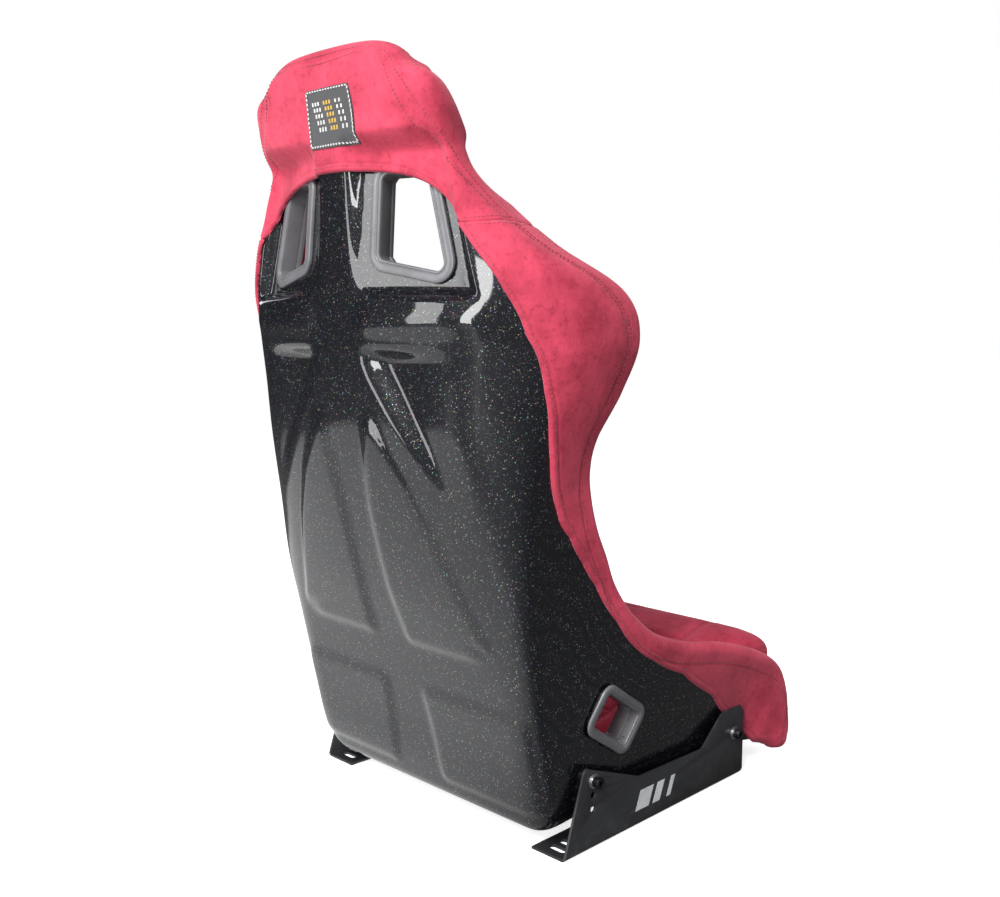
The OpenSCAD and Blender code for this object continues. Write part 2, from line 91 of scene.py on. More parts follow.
def makeMottleGroup():
    # soft patches with darker flecks in them, 0 to 1
    group, start, end = shaderGroup(
        "mottle",
        [("Vector", "NodeSocketVector", None), ("Patch Scale", "NodeSocketFloat", 14),
         ("Fleck Scale", "NodeSocketFloat", 110), ("Fleck Amount", "NodeSocketFloat", 0.5)],
        [("Value", "NodeSocketFloat")])
    patches = addNode(group, "TexNoise", Detail=5.0, Roughness=0.62)
    flecks = addNode(group, "TexNoise", Detail=3.0, Roughness=0.7)
    range1 = addNode(group, "MapRange", **{"From Min": 0.33, "From Max": 0.7})
    range2 = addNode(group, "MapRange", **{"From Min": 0.52, "From Max": 0.72})
    times = addNode(group, "Math", operation="MULTIPLY")
    total = addNode(group, "Math", operation="ADD", use_clamp=True)
    join = group.links.new
    join(start.outputs["Vector"], patches.inputs["Vector"])
    join(start.outputs["Vector"], flecks.inputs["Vector"])
    join(start.outputs["Patch Scale"], patches.inputs["Scale"])
    join(start.outputs["Fleck Scale"], flecks.inputs["Scale"])
    join(patches.outputs["Fac"], range1.inputs["Value"])
    join(flecks.outputs["Fac"], range2.inputs["Value"])
    join(range2.outputs["Result"], times.inputs[0])
    join(start.outputs["Fleck Amount"], times.inputs[1])
    join(range1.outputs["Result"], total.inputs[0])
    join(times.outputs["Value"], total.inputs[1])
    join(total.outputs["Value"], end.inputs["Value"])
    return group


def makeGrainGroup():
    # fine height for a bump: nap, moulded texture or powder coat
    group, start, end = shaderGroup(
        "fineGrain",
        [("Vector", "NodeSocketVector", None), ("Scale", "NodeSocketFloat", 900),
         ("Coarse Scale", "NodeSocketFloat", 160)],
        [("Height", "NodeSocketFloat")])
    fine = addNode(group, "TexNoise", Detail=2.0, Roughness=0.6)
    coarse = addNode(group, "TexNoise", Detail=3.0, Roughness=0.55)
    total = addNode(group, "Math", operation="MULTIPLY_ADD")
    total.inputs[1].default_value = 0.6
    join = group.links.new
    for texture, label in ((fine, "Scale"), (coarse, "Coarse Scale")):
        join(start.outputs["Vector"], texture.inputs["Vector"])
        join(start.outputs[label], texture.inputs["Scale"])
    join(fine.outputs["Fac"], total.inputs[0])
    join(coarse.outputs["Fac"], total.inputs[2])
    join(total.outputs["Value"], end.inputs["Height"])
    return group


def makeWearGroup():
    # 1 where an edge or a hand-worn patch shows, from the shape's own pointiness and noise
    group, start, end = shaderGroup(
        "edgeWear",
        [("Vector", "NodeSocketVector", None), ("Scale", "NodeSocketFloat", 60),
         ("Amount", "NodeSocketFloat", 0.5)],
        [("Mask", "NodeSocketFloat")])
    shape = addNode(group, "NewGeometry")
    noise = addNode(group, "TexNoise", Detail=6.0)
    sharp = addNode(group, "MapRange", **{"From Min": 0.53, "From Max": 0.62})
    spots = addNode(group, "MapRange", **{"From Min": 0.5, "From Max": 0.66})
    times = addNode(group, "Math", operation="MULTIPLY")
    share = addNode(group, "Math", operation="MULTIPLY")
    join = group.links.new
    join(start.outputs["Vector"], noise.inputs["Vector"])
    join(start.outputs["Scale"], noise.inputs["Scale"])
    join(shape.outputs["Pointiness"], sharp.inputs["Value"])
    join(noise.outputs["Fac"], spots.inputs["Value"])
    join(sharp.outputs["Result"], times.inputs[0])
    join(spots.outputs["Result"], times.inputs[1])
    join(times.outputs["Value"], share.inputs[0])
    join(start.outputs["Amount"], share.inputs[1])
    join(share.outputs["Value"], end.inputs["Mask"])
    return group


mottleGroup = makeMottleGroup()
grainGroup = makeGrainGroup()
wearGroup = makeWearGroup()


def placeGroup(tree, group, **values):
    node = tree.nodes.new("ShaderNodeGroup")
    node.node_tree = group
    for key, value in values.items():
        node.inputs[key.replace("_", " ")].default_value = value
    return node


def newMaterial(name, color, **sockets):
    material = bpy.data.materials.new(name)
    material.use_nodes = True
    material.diffuse_color = (*color, 1)
    tree = material.node_tree
    shader = tree.nodes["Principled BSDF"]
    shader.inputs["Base Color"].default_value = (*color, 1)
    for key, value in sockets.items():
        shader.inputs[key.replace("_", " ")].default_value = value
    place = addNode(tree, "TexCoord")
    return material, tree, shader, place.outputs["Object"]


def mixColors(tree, factor, low, high):
    mix = addNode(tree, "Mix", data_type="RGBA")
    if factor is not None:
        tree.links.new(factor, mix.inputs["Factor"])
    for socket, value in ((mix.inputs["A"], low), (mix.inputs["B"], high)):
        if isinstance(value, tuple):
            mix.inputs[[i for i in range(len(mix.inputs)) if mix.inputs[i].name == socket.name
                        and mix.inputs[i].type == "RGBA"][0]].default_value = (*value, 1)
    return mix


def colorSockets(mix):
    # factor, A, B and the result of a colour Mix node
    colors = [socket for socket in mix.inputs if socket.type == "RGBA"]
    result = [socket for socket in mix.outputs if socket.type == "RGBA"][0]
    return colors[0], colors[1], result


def linkBump(tree, shader, height, strength, distance, coat=False):
    bump = addNode(tree, "Bump", Strength=strength, Distance=distance)
    tree.links.new(height, bump.inputs["Height"])
    tree.links.new(bump.outputs["Normal"], shader.inputs["Normal"])
    return bump


def linkRange(tree, source, socket, low, high):
    span = addNode(tree, "MapRange", **{"To Min": low, "To Max": high})
    tree.links.new(source, span.inputs["Value"])
    tree.links.new(span.outputs["Result"], socket)


suedeLook = {"light": (0.62, 0.066, 0.115), "dark": (0.33, 0.026, 0.052), "nap": 700, "patch": 15}


def makeSuede(name, shade=1.0):
    light = tuple(c * shade for c in suedeLook["light"])
    dark = tuple(c * shade for c in suedeLook["dark"])
    material, tree, shader, place = newMaterial(
        name, light, Roughness=0.9, Sheen_Weight=0.35, Sheen_Roughness=0.4,
        Sheen_Tint=(1.0, 0.45, 0.52, 1), Specular_IOR_Level=0.2)
    mottle = placeGroup(tree, mottleGroup, Patch_Scale=suedeLook["patch"], Fleck_Scale=130, Fleck_Amount=0.45)
    mix = mixColors(tree, mottle.outputs["Value"], light, dark)
    # the brushed nap lies in short streaks
    stretch = addNode(tree, "Mapping")
    stretch.inputs["Scale"].default_value = (1, 1, 0.35)
    streak = addNode(tree, "TexNoise", Scale=300.0, Detail=4.0, Roughness=0.7)
    grain = placeGroup(tree, grainGroup, Scale=suedeLook["nap"], Coarse_Scale=210)
    height = addNode(tree, "Math", operation="ADD")
    tree.links.new(place, mottle.inputs["Vector"])
    tree.links.new(place, stretch.inputs["Vector"])
    tree.links.new(stretch.outputs["Vector"], streak.inputs["Vector"])
    tree.links.new(place, grain.inputs["Vector"])
    tree.links.new(grain.outputs["Height"], height.inputs[0])
    tree.links.new(streak.outputs["Fac"], height.inputs[1])
    tree.links.new(colorSockets(mix)[2], shader.inputs["Base Color"])
    linkRange(tree, mottle.outputs["Value"], shader.inputs["Roughness"], 0.95, 0.78)
    linkBump(tree, shader, height.outputs["Value"], 0.45, 0.0009)
    return material


def makeGelcoat():
    # black gel coat with coloured metal flakes under a thick clear layer
    material, tree, shader, place = newMaterial(
        "flakeGelcoat", (0.002, 0.0025, 0.005), Roughness=0.5, Coat_Weight=1.0, Coat_Roughness=0.05,
        Coat_IOR=1.5, Specular_IOR_Level=0.15)
    flakes = []
    for scale, share, glow in ((640.0, 0.09, 0.8), (1050.0, 0.16, 0.4)):
        cells = addNode(tree, "TexVoronoi", Scale=scale, Randomness=1.0)
        pick = addNode(tree, "SeparateColor")
        chosen = addNode(tree, "Math", operation="LESS_THAN")
        chosen.inputs[1].default_value = share
        near = addNode(tree, "Math", operation="LESS_THAN")
        near.inputs[1].default_value = 0.42
        mask = addNode(tree, "Math", operation="MULTIPLY")
        hue = addNode(tree, "CombineColor", mode="HSV")
        hue.inputs["Green"].default_value = 0.45
        bright = addNode(tree, "MapRange", **{"To Min": 0.03 * glow, "To Max": 0.5 * glow})
        tree.links.new(place, cells.inputs["Vector"])
        tree.links.new(cells.outputs["Color"], pick.inputs["Color"])
        tree.links.new(pick.outputs["Red"], chosen.inputs[0])
        tree.links.new(cells.outputs["Distance"], near.inputs[0])
        tree.links.new(chosen.outputs["Value"], mask.inputs[0])
        tree.links.new(near.outputs["Value"], mask.inputs[1])
        tree.links.new(pick.outputs["Green"], hue.inputs["Red"])
        tree.links.new(pick.outputs["Blue"], bright.inputs["Value"])
        tree.links.new(bright.outputs["Result"], hue.inputs["Blue"])
        flakes.append((mask.outputs["Value"], hue.outputs["Color"]))
    base = mixColors(tree, flakes[0][0], (0.002, 0.0025, 0.005), (0, 0, 0))
    tree.links.new(flakes[0][1], colorSockets(base)[1])
    both = mixColors(tree, flakes[1][0], (0, 0, 0), (0, 0, 0))
    tree.links.new(colorSockets(base)[2], colorSockets(both)[0])
    tree.links.new(flakes[1][1], colorSockets(both)[1])
    tree.links.new(colorSockets(both)[2], shader.inputs["Base Color"])
    some = addNode(tree, "Math", operation="MAXIMUM")
    tree.links.new(flakes[0][0], some.inputs[0])
    tree.links.new(flakes[1][0], some.inputs[1])
    linkRange(tree, some.outputs["Value"], shader.inputs["Metallic"], 0.0, 0.55)
    # faint moulding waviness
    wave = addNode(tree, "TexNoise", Scale=9.0, Detail=2.0)
    tree.links.new(place, wave.inputs["Vector"])
    linkBump(tree, shader, wave.outputs["Fac"], 0.05, 0.004)
    return material


def makeDarkFinish(name, color, roughness, grain, bump, wear=(0.3, 0.3, 0.31), amount=0.35, metallic=0.0):
    material, tree, shader, place = newMaterial(name, color, Roughness=roughness, Metallic=metallic)
    mottle = placeGroup(tree, mottleGroup, Patch_Scale=22, Fleck_Scale=260, Fleck_Amount=0.3)
    worn = placeGroup(tree, wearGroup, Scale=70, Amount=amount)
    fine = placeGroup(tree, grainGroup, Scale=grain, Coarse_Scale=grain / 5)
    deep = tuple(c * 0.72 for c in color)
    mix = mixColors(tree, mottle.outputs["Value"], color, deep)
    edge = mixColors(tree, worn.outputs["Mask"], (0, 0, 0), wear)
    tree.links.new(colorSockets(mix)[2], colorSockets(edge)[0])
    for group in (mottle, worn, fine):
        tree.links.new(place, group.inputs["Vector"])
    tree.links.new(colorSockets(edge)[2], shader.inputs["Base Color"])
    linkRange(tree, mottle.outputs["Value"], shader.inputs["Roughness"], roughness - 0.06, roughness + 0.08)
    linkBump(tree, shader, fine.outputs["Height"], bump, 0.0004)
    return material


def makeThread(name, color):
    material, tree, shader, place = newMaterial(name, color, Roughness=0.55, Sheen_Weight=0.3)
    twist = addNode(tree, "TexWave", Scale=420.0, Distortion=1.5)
    tone = mixColors(tree, twist.outputs["Fac"], tuple(c * 0.7 for c in color), color)
    tree.links.new(place, twist.inputs["Vector"])
    tree.links.new(colorSockets(tone)[2], shader.inputs["Base Color"])
    linkBump(tree, shader, twist.outputs["Fac"], 0.5, 0.0003)
    return material


suede = makeSuede("suede")
gelcoat = makeGelcoat()
plastic = makeDarkFinish("bezelPlastic", (0.15, 0.15, 0.16), 0.3, 1400.0, 0.1, (0.3, 0.3, 0.31))
powder = makeDarkFinish("bracketPowder", (0.028, 0.029, 0.032), 0.42, 1100.0, 0.22, (0.25, 0.25, 0.26))
blackSteel = makeDarkFinish("blackBolt", (0.03, 0.03, 0.033), 0.3, 900.0, 0.1, (0.4, 0.4, 0.42), 0.6, 0.8)
zinc = makeDarkFinish("zincPlate", (0.62, 0.63, 0.65), 0.27, 800.0, 0.1, (0.8, 0.8, 0.8), 0.3, 1.0)
tape = makeDarkFinish("loopTape", (0.02, 0.02, 0.022), 0.95, 500.0, 0.9, (0.03, 0.03, 0.03))
redThread = makeThread("seamThread", (0.20, 0.018, 0.032))
hemThread = makeThread("hemThread", (0.34, 0.03, 0.055))
whiteThread = makeThread("whiteThread", (0.82, 0.82, 0.8))
darkThread = makeThread("charcoalThread", (0.03, 0.03, 0.035))
yellowThread = makeThread("yellowThread", (0.83, 0.52, 0.03))
whitePaint = makeDarkFinish("whiteDecal", (0.72, 0.73, 0.75), 0.35, 900.0, 0.05, (0.5, 0.5, 0.5))
bluePaint = makeDarkFinish("blueDecal", (0.05, 0.09, 0.42), 0.35, 900.0, 0.05, (0.1, 0.1, 0.3))
print("materials made")


# ---- mesh helpers --------------------------------------------------------------
def finishPiece(piece, material, body=root, replaced=(), angle=None):
    piece.data.materials.clear()
    for item in material if isinstance(material, (list, tuple)) else [material]:
        piece.data.materials.append(item)
    for polygon in piece.data.polygons:
        polygon.use_smooth = True
    if angle:
        bpy.ops.object.select_all(action="DESELECT")
        piece.select_set(True)
        bpy.context.view_layer.objects.active = piece
        bpy.ops.object.shade_smooth_by_angle(angle=math.radians(angle))
    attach(piece, body)
    if replaced:
        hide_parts(*replaced)
    return piece


def meshPiece(name, verts, faces):
    mesh = bpy.data.meshes.new(name)
    mesh.from_pydata([tuple(v) for v in verts], [], [tuple(f) for f in faces])
    piece = bpy.data.objects.new(name, mesh)
    bpy.context.scene.collection.objects.link(piece)
    return piece


def tidyMesh(piece, gap=0.00002):
    # merges doubles and turns every face outwards
    shape = bmesh.new()
    shape.from_mesh(piece.data)
    bmesh.ops.remove_doubles(shape, verts=shape.verts, dist=gap)
    bmesh.ops.dissolve_degenerate(shape, edges=shape.edges, dist=gap / 4)
    bmesh.ops.recalc_face_normals(shape, faces=shape.faces)
    if shape.calc_volume(signed=True) < 0:
        bmesh.ops.reverse_faces(shape, faces=shape.faces)
    shape.to_mesh(piece.data)
    shape.free()


def gridFaces(rows, cols, start=0, flip=False):
    i, j = np.meshgrid(np.arange(rows - 1), np.arange(cols - 1), indexing="ij")
    a = (start + i * cols + j).ravel()
    quads = np.stack([a, a + 1, a + cols + 1, a + cols], 1)
    return quads[:, ::-1] if flip else quads


def pillow(name, far, near):
    # closed skin between two grids of points, shaped (rows, cols, 3)
    rows, cols = far.shape[:2]
    n = rows * cols
    rim = np.concatenate([np.arange(cols), np.arange(1, rows) * cols + cols - 1,
                          (rows - 1) * cols + np.arange(cols - 2, -1, -1), np.arange(rows - 2, 0, -1) * cols])
    after = np.roll(rim, -1)
    walls = np.stack([rim, rim + n, after + n, after], 1)
    faces = np.concatenate([gridFaces(rows, cols), gridFaces(rows, cols, n, True), walls])
    piece = meshPiece(name, np.concatenate([far.reshape(-1, 3), near.reshape(-1, 3)]).tolist(), faces.tolist())
    tidyMesh(piece)
    return piece


def applyModifiers(piece):
    bpy.ops.object.select_all(action="DESELECT")
    piece.select_set(True)
    bpy.context.view_layer.objects.active = piece
    for modifier in list(piece.modifiers):
        bpy.ops.object.modifier_apply(modifier=modifier.name)


# ---- the skin of the shell -------------------------------------------------------
# Each station: centre line [y, z], corner, side and rim [x, y, z], in millimetres
stations = np.array([
    [-284, 38, 206, -289, 29, 233, -297, 26, 230, -293, 66],
    [-272, 30, 206, -278, 25, 236, -285, 28, 231, -288, 96],
    [-243, 28, 206, -248, 25, 226, -257, 48, 232, -268, 128],
    [-196, 27, 203, -199, 25, 208, -205, 82, 233, -216, 156],
    [-124, 27, 202, -124, 25, 210, -129, 91, 233, -136, 184],
    [-41, 27, 202, -41, 25, 210, -46, 95, 232, -60, 200],
    [41, 27, 202, 39, 25, 210, 29, 99, 230, 2, 222],
    [114, 24, 203, 108, 21, 210, 88, 103, 228, 43, 251],
    [160, 26, 206, 156, 24, 213, 126, 120, 227, 68, 277],
    [176, 58, 210, 174, 57, 215, 150, 151, 226, 87, 305],
    [191, 129, 213, 191, 126, 216, 164, 204, 226, 101, 336],
    [217, 223, 217, 209, 217, 219, 177, 276, 226, 118, 369],
    [246, 305, 220, 223, 298, 223, 191, 334, 227, 131, 405],
    [269, 388, 221, 230, 380, 228, 196, 397, 229, 138, 442],
    [286, 470, 229, 233, 464, 241, 194, 466, 237, 136, 481],
    [294, 537, 240, 227, 534, 259, 182, 531, 257, 120, 533],
    [298, 593, 252, 223, 591, 277, 168, 590, 271, 109, 588],
    [297, 640, 244, 238, 640, 270, 184, 640, 264, 126, 636],
    [297, 686, 210, 259, 686, 225, 218, 687, 213, 173, 683],
    [298, 733, 173, 271, 733, 179, 243, 735, 167, 206, 733],
    [300, 779, 150, 281, 779, 157, 258, 780, 149, 231, 778],
    [305, 829, 148, 291, 827, 155, 276, 827, 147, 256, 823],
    [310, 867, 133, 301, 862, 146, 290, 858, 142, 270, 851],
    [308, 888, 95, 300, 881, 128, 290, 872, 133, 276, 866],
    [298, 893, 86, 292, 888, 116, 285, 876, 127, 275, 871]], float)
top = len(stations) - 1
shellWall = 4.0
frameShift = np.array([0, 25.0, 0])
rollOut = 0.12
slotPlane = {"x": 47, "y": 290, "z": 676, "acrossSlope": 0.26, "upSlope": 0.084}


def smooth(t):
    c = np.clip(t, 0, 1)
    return c * c * (3 - 2 * c)


def smoothMin(a, b, k):
    h = np.clip(0.5 + 0.5 * (b - a) / k, 0, 1)
    return b * (1 - h) + a * h - k * h * (1 - h)


def crossSection(s):
    c = np.clip(s, 0, top)
    i = np.minimum(np.floor(c).astype(int), top - 1)
    t = (c - i)[..., None]
    a, b, d, e = [stations[np.clip(i + k, 0, top)] for k in (-1, 0, 1, 2)]
    return 0.5 * (2 * b + (d - a) * t + (2 * a - 5 * b + 4 * d - e) * t ** 2 + (3 * b - a - 3 * d + e) * t ** 3)


def curve(a, b, c, t):
    return a * (1 - t) ** 2 + b * 2 * t * (1 - t) + c * t * t


def skinInside(s, t):
    v, u = crossSection(s), np.abs(t)[..., None]
    centre = np.stack([np.zeros(s.shape), v[..., 0], v[..., 1]], -1)
    flat = np.stack([0.62 * v[..., 2], v[..., 0], v[..., 1]], -1)
    corner, side, rim = v[..., 2:5], v[..., 5:8], v[..., 8:11]
    first, second = (flat + corner) / 2, (corner + side) / 2
    out = (rim - side) / np.linalg.norm(rim - side, axis=-1, keepdims=True)
    p = np.where(u < 1 / 3, curve(centre, flat, first, 3 * u),
                 np.where(u < 2 / 3, curve(first, corner, second, 3 * u - 1),
                          np.where(u <= 1, curve(second, side, rim, 3 * u - 2), rim + 100 * (u - 1) * out)))
    p[..., 0] *= np.sign(t)
    return p


def skin(s, t):
    # past the two ends the skin goes on for 100 mm for each unit, turning forwards at the rim
    s, t = np.broadcast_arrays(np.asarray(s, float), np.asarray(t, float))
    c = np.clip(s, 0, top)
    past = s - c
    middle = skinInside(c, 0 * t) - skinInside(c - 0.1 * np.sign(past), 0 * t)
    size = np.linalg.norm(middle, axis=-1, keepdims=True)
    ahead = np.where(size > 1e-9, middle / np.maximum(size, 1e-9), 0)
    turn = np.minimum(1, t * t)[..., None]
    way = ahead * (1 - turn) + np.array([0, -1, 0.2]) * turn
    way = way / np.maximum(np.linalg.norm(way, axis=-1, keepdims=True), 1e-9)
    return skinInside(c, t) + 100 * np.abs(past)[..., None] * way


def outward(s, t):
    s, t = np.broadcast_arrays(np.asarray(s, float), np.asarray(t, float))
    e = 0.02
    t = np.where(np.abs(t) < e / 4, e / 4, t)
    n = np.cross(skin(s + e, t) - skin(s - e, t), skin(s, t + e / 4) - skin(s, t - e / 4))
    return n / np.maximum(np.linalg.norm(n, axis=-1, keepdims=True), 1e-9)


def slotPlaneY(x, z):
    p = slotPlane
    return p["y"] - p["acrossSlope"] * (np.abs(x) - p["x"]) - p["upSlope"] * (z - p["z"])


def toFrame(p):
    # the top corners of the head are drawn in a little, then everything moves to the frame's origin
    u = np.abs(p[..., 0])
    near = np.exp(-((u - 130) / 26) ** 2 - ((p[..., 2] - 872) / 24) ** 2)
    inwards = np.stack([-8 * np.sign(p[..., 0]) * near, 0 * near, -7 * near], -1)
    return (p + inwards + frameShift) * mm


def relax(piece, centre, radius, times):
    # smooths the vertices around one place on both sides of the seat
    shape = bmesh.new()
    shape.from_mesh(piece.data)
    for side in (-1, 1):
        spot = Vector((centre[0] * side, centre[1], centre[2]))
        verts = [v for v in shape.verts if (v.co - spot).length < radius]
        for _ in range(times):
            bmesh.ops.smooth_vert(shape, verts=verts, factor=0.5, use_axis_x=True, use_axis_y=True, use_axis_z=True)
    shape.to_mesh(piece.data)
    shape.free()


def gapBetween(a, b):
    return np.linalg.norm(a - b, axis=-1)


# ---- shell -----------------------------------------------------------------------
shellForm = {"spine": 23, "ledge": 630, "pocketRound": 36, "pocketRamp": 14, "bandRise": 5, "bandHeight": 607,
             "recessDepth": 15, "recessTop": 580, "cheekRise": 4.0, "panelRise": 3.2}


def pocketMask(x, z):
    # 1 on the flat pocket around a shoulder belt opening
    u = np.abs(x)
    r = shellForm["pocketRound"]
    qx, qz = shellForm["spine"] + r - u, shellForm["ledge"] - 0.03 * (u - 47) + r - z
    inside = r - np.hypot(np.maximum(qx, 0), np.maximum(qz, 0)) + np.where((qx < 0) & (qz < 0), 0, 0)
    inside = np.where(qx < 0, np.where(qz < 0, r - np.maximum(qx, qz), r - qz), np.where(qz < 0, r - qx, inside))
    outer = 166 - 0.28 * (z - 667)
    return (smooth(inside / shellForm["pocketRamp"]) * smooth((outer + 24 - u) / 20) * smooth((806 - z) / 26))


def cheekEdges(z):
    # inner and outer edge of the raised lumbar cheeks at each height
    inner = np.interp(z, [200, 228, 300, 400, 450, 490, 515], [30, 26, 19, 19, 24, 31, 37])
    outer = np.interp(z, [200, 236, 280, 370, 432, 500, 518], [196, 184, 163, 130, 100, 55, 42])
    return inner, outer


def reliefRise(x, z):
    # height of the moulded relief over the smooth back, in millimetres
    u = np.abs(x)
    f = shellForm
    rise = f["bandRise"] * np.exp(-((z - f["bandHeight"]) / 17) ** 2) * smooth((u - 30) / 26) * smooth((205 - u) / 40)
    # three-cornered recess under the band: a wide sloping wall, then a floor that comes back up outwards
    slope = (u - 40) * 0.815 + (z - 556) * 0.58
    inside = smoothMin(smoothMin(slope, (f["recessTop"] - z) * 1.5, 14), (u - 39) * 1.1, 18)
    depth = f["recessDepth"] * smooth(inside / 27)
    rise = rise - depth * smooth((176 - u) / 96)
    # two cheeks that meet in an upside-down V
    inner, outer = cheekEdges(z)
    cheek = smoothMin(smoothMin(u - inner, (outer - u) * 0.8, 9), z - 226, 8)
    fade = smooth((172 - u) / 40)
    soft = smooth((540 - z) / 60)
    share = np.where(z < 260, np.maximum(fade, smooth((z - 236) / 24)), 1)
    rise = rise + f["cheekRise"] * smooth(cheek / 13) * share * soft
    # two low panels under the crease, with a rib between them
    panelInner = np.interp(z, [40, 165, 180], [38, 28, 28])
    panel = smoothMin(smoothMin(u - panelInner, 177 - z, 14), 205 - u, 14)
    rise = rise + f["panelRise"] * smooth(panel / 12) * smooth((z - 44) / 16)
    return rise


def pressed(p, ridePlane=0.0, share=1.0):
    # the skin with the belt pockets pressed in; ridePlane lifts it off the pocket floor
    mask = np.where(p[..., 1] > 190, pocketMask(p[..., 0], p[..., 2]), 0) * share
    q = p.copy()
    q[..., 1] += (slotPlaneY(p[..., 0], p[..., 2]) + ridePlane - p[..., 1]) * mask
    return q


harnessCorners = [(20, -4.1), (105.4, -20.2), (76.6, 85), (20, 85)]
lapCorners = [(-37, -21), (37, -21), (37, 21), (-37, 21)]


def harnessFrame(side):
    yaw = -math.atan(slotPlane["acrossSlope"])
    tilt = -math.atan(slotPlane["upSlope"] * math.cos(yaw))
    turn = Matrix.Rotation(yaw, 4, "Z") @ Matrix.Rotation(math.pi / 2 - tilt, 4, "X")
    place = Matrix.Translation((slotPlane["x"], slotPlane["y"] + frameShift[1], slotPlane["z"])) @ turn
    return Matrix.Scale(mm, 4) @ Matrix.Diagonal((side, 1, 1, 1)) @ place


def lapFrame(side):
    turn = Matrix.Rotation(math.radians(96.3), 4, "Y") @ Matrix.Rotation(math.radians(123.5), 4, "Z")
    place = Matrix.Translation((215.5, 64 + frameShift[1], 144)) @ turn
    return Matrix.Scale(mm, 4) @ Matrix.Diagonal((side, 1, 1, 1)) @ place


def insideOutline(points, place, corners, margin):
    # which points, in metres, lie inside an opening's outline grown by a margin in millimetres
    local = (np.array(place.inverted()) @ np.concatenate([points, np.ones((len(points), 1))], 1).T).T
    inside = np.abs(local[:, 2]) < 16
    for k, (x, y) in enumerate(corners):
        x2, y2 = corners[(k + 1) % len(corners)]
        size = math.hypot(x2 - x, y2 - y)
        inside &= ((local[:, 1] - y) * (x2 - x) - (local[:, 0] - x) * (y2 - y)) / size > -margin
    return inside


def makeShell():
    rows = np.concatenate([np.linspace(0, 8.5, 46), np.linspace(8.5, 20.4, 190)[1:], np.linspace(20.4, top, 18)[1:]])
    across = np.concatenate([np.linspace(-1, -0.42, 42), np.linspace(-0.42, 0.42, 102)[1:-1], np.linspace(0.42, 1, 42)])
    s, t = np.meshgrid(rows, across, indexing="ij")
    p, n = skin(s, t), outward(s, t)
    rise = np.where((p[..., 1] > 130) & (s > 8), reliefRise(p[..., 0], p[..., 2]), 0) * smooth((s - 8.2) / 0.5)
    rise = rise * smooth((0.60 - np.abs(t)) / 0.12)
    far = toFrame(pressed(p) + n * rise[..., None])
    verts = far.reshape(-1, 3)
    faces = gridFaces(*s.shape)
    centres = verts[faces].mean(1)
    gone = np.zeros(len(faces), bool)
    for side in (-1, 1):
        gone |= insideOutline(centres, harnessFrame(side), harnessCorners, 4.5)
        gone |= insideOutline(centres, lapFrame(side), lapCorners, 4.0)
    low = (centres[:, 2] < 0.04) & (np.abs(centres[:, 0]) < 0.036) & (np.abs(centres[:, 1] + 0.085) < 0.0165)
    piece = meshPiece("seatShell", verts.tolist(), faces[~(gone | low)].tolist())
    shape = bmesh.new()
    shape.from_mesh(piece.data)
    bmesh.ops.delete(shape, geom=[v for v in shape.verts if not v.link_faces], context="VERTS")
    bmesh.ops.recalc_face_normals(shape, faces=shape.faces)
    middle = min(shape.faces, key=lambda f: (f.calc_center_median() - Vector((0, 0.3, 0.4))).length)
    if middle.normal.y < 0:
        bmesh.ops.reverse_faces(shape, faces=shape.faces)
    shape.to_mesh(piece.data)
    shape.free()
    wall = piece.modifiers.new("wall", "SOLIDIFY")
    wall.thickness = shellWall * mm
    wall.offset = -1
    wall.use_even_offset = False
    applyModifiers(piece)
    return finishPiece(piece, gelcoat, root, ["shell"])


shell = makeShell()
print("shell made", len(shell.data.polygons), "faces")


# ---- covers on the outside -----------------------------------------------------
coverForm = {"thick": 5.0, "hem": 9.0, "seamIn": 27.0, "seamDepth": 1.3, "split": 18.4, "headSeam": 0.5}
trimLine = [0.5, 0.5, 0.55, 0.72, 0.88, 0.955, 0.975, 0.98, 0.985, 0.98, 0.97, 0.95, 0.92, 0.85, 0.74,
            0.58, 0.45, 0.41, 0.41, 0.41]
wrap = 1 + rollOut


def trimAt(s):
    return np.interp(s, np.arange(len(trimLine)), trimLine)


def archAt(t):
    # lower edge of the head cover, an arch over the belt openings
    u = np.clip(np.abs(t) / 0.412, 0, 1)
    return coverForm["split"] + 1.33 * np.sqrt(1 - u ** 2)


def eased(count, sharp=1.0):
    # 0 to 1 with points crowded at both ends
    w = np.linspace(0, 1, count)
    return w + sharp * (0.5 - 0.5 * np.cos(np.pi * w) - w)


def rollDepth(past):
    # share of the thickness left at a place past the rim, 1 at the rim and 0 at the fold
    return np.sqrt(np.clip(1 - (past / rollOut) ** 2, 0, 1))


def ripple(p, scale, seed):
    # gentle unevenness of stretched suede, about -1 to 1
    a = np.sin(p[..., 0] / scale + 1.7 * seed) * np.sin(p[..., 2] / (scale * 0.83) + seed)
    b = np.sin((p[..., 0] + p[..., 1]) / (scale * 0.47) + 2.1 * seed) * np.sin(p[..., 2] / (scale * 0.39) - seed)
    return 0.6 * a + 0.4 * b


def seamPlace(s):
    # distance of the double seam from the rolled rim, wider at the neck
    return coverForm["seamIn"] * (1 + smooth((s - 15.6) / 2.8))


def coverRise(hemGap, rimGap, past, seamGap=1000.0):
    # rimGap is measured so that the double seam always lies at seamIn
    f = coverForm
    body = f["thick"] * np.sqrt(np.clip(1 - (1 - np.clip(hemGap / 4.5, 0, 1)) ** 2, 0, 1))
    body = body - f["seamDepth"] * 0.7 * np.exp(-((hemGap - f["hem"]) / 1.7) ** 2)
    body = body - f["seamDepth"] * np.exp(-((rimGap - f["seamIn"]) / 2.2) ** 2)
    body = body - 1.1 * np.exp(-(seamGap / 1.8) ** 2)
    return -shellWall - 1 + (body + shellWall + 1) * rollDepth(past)


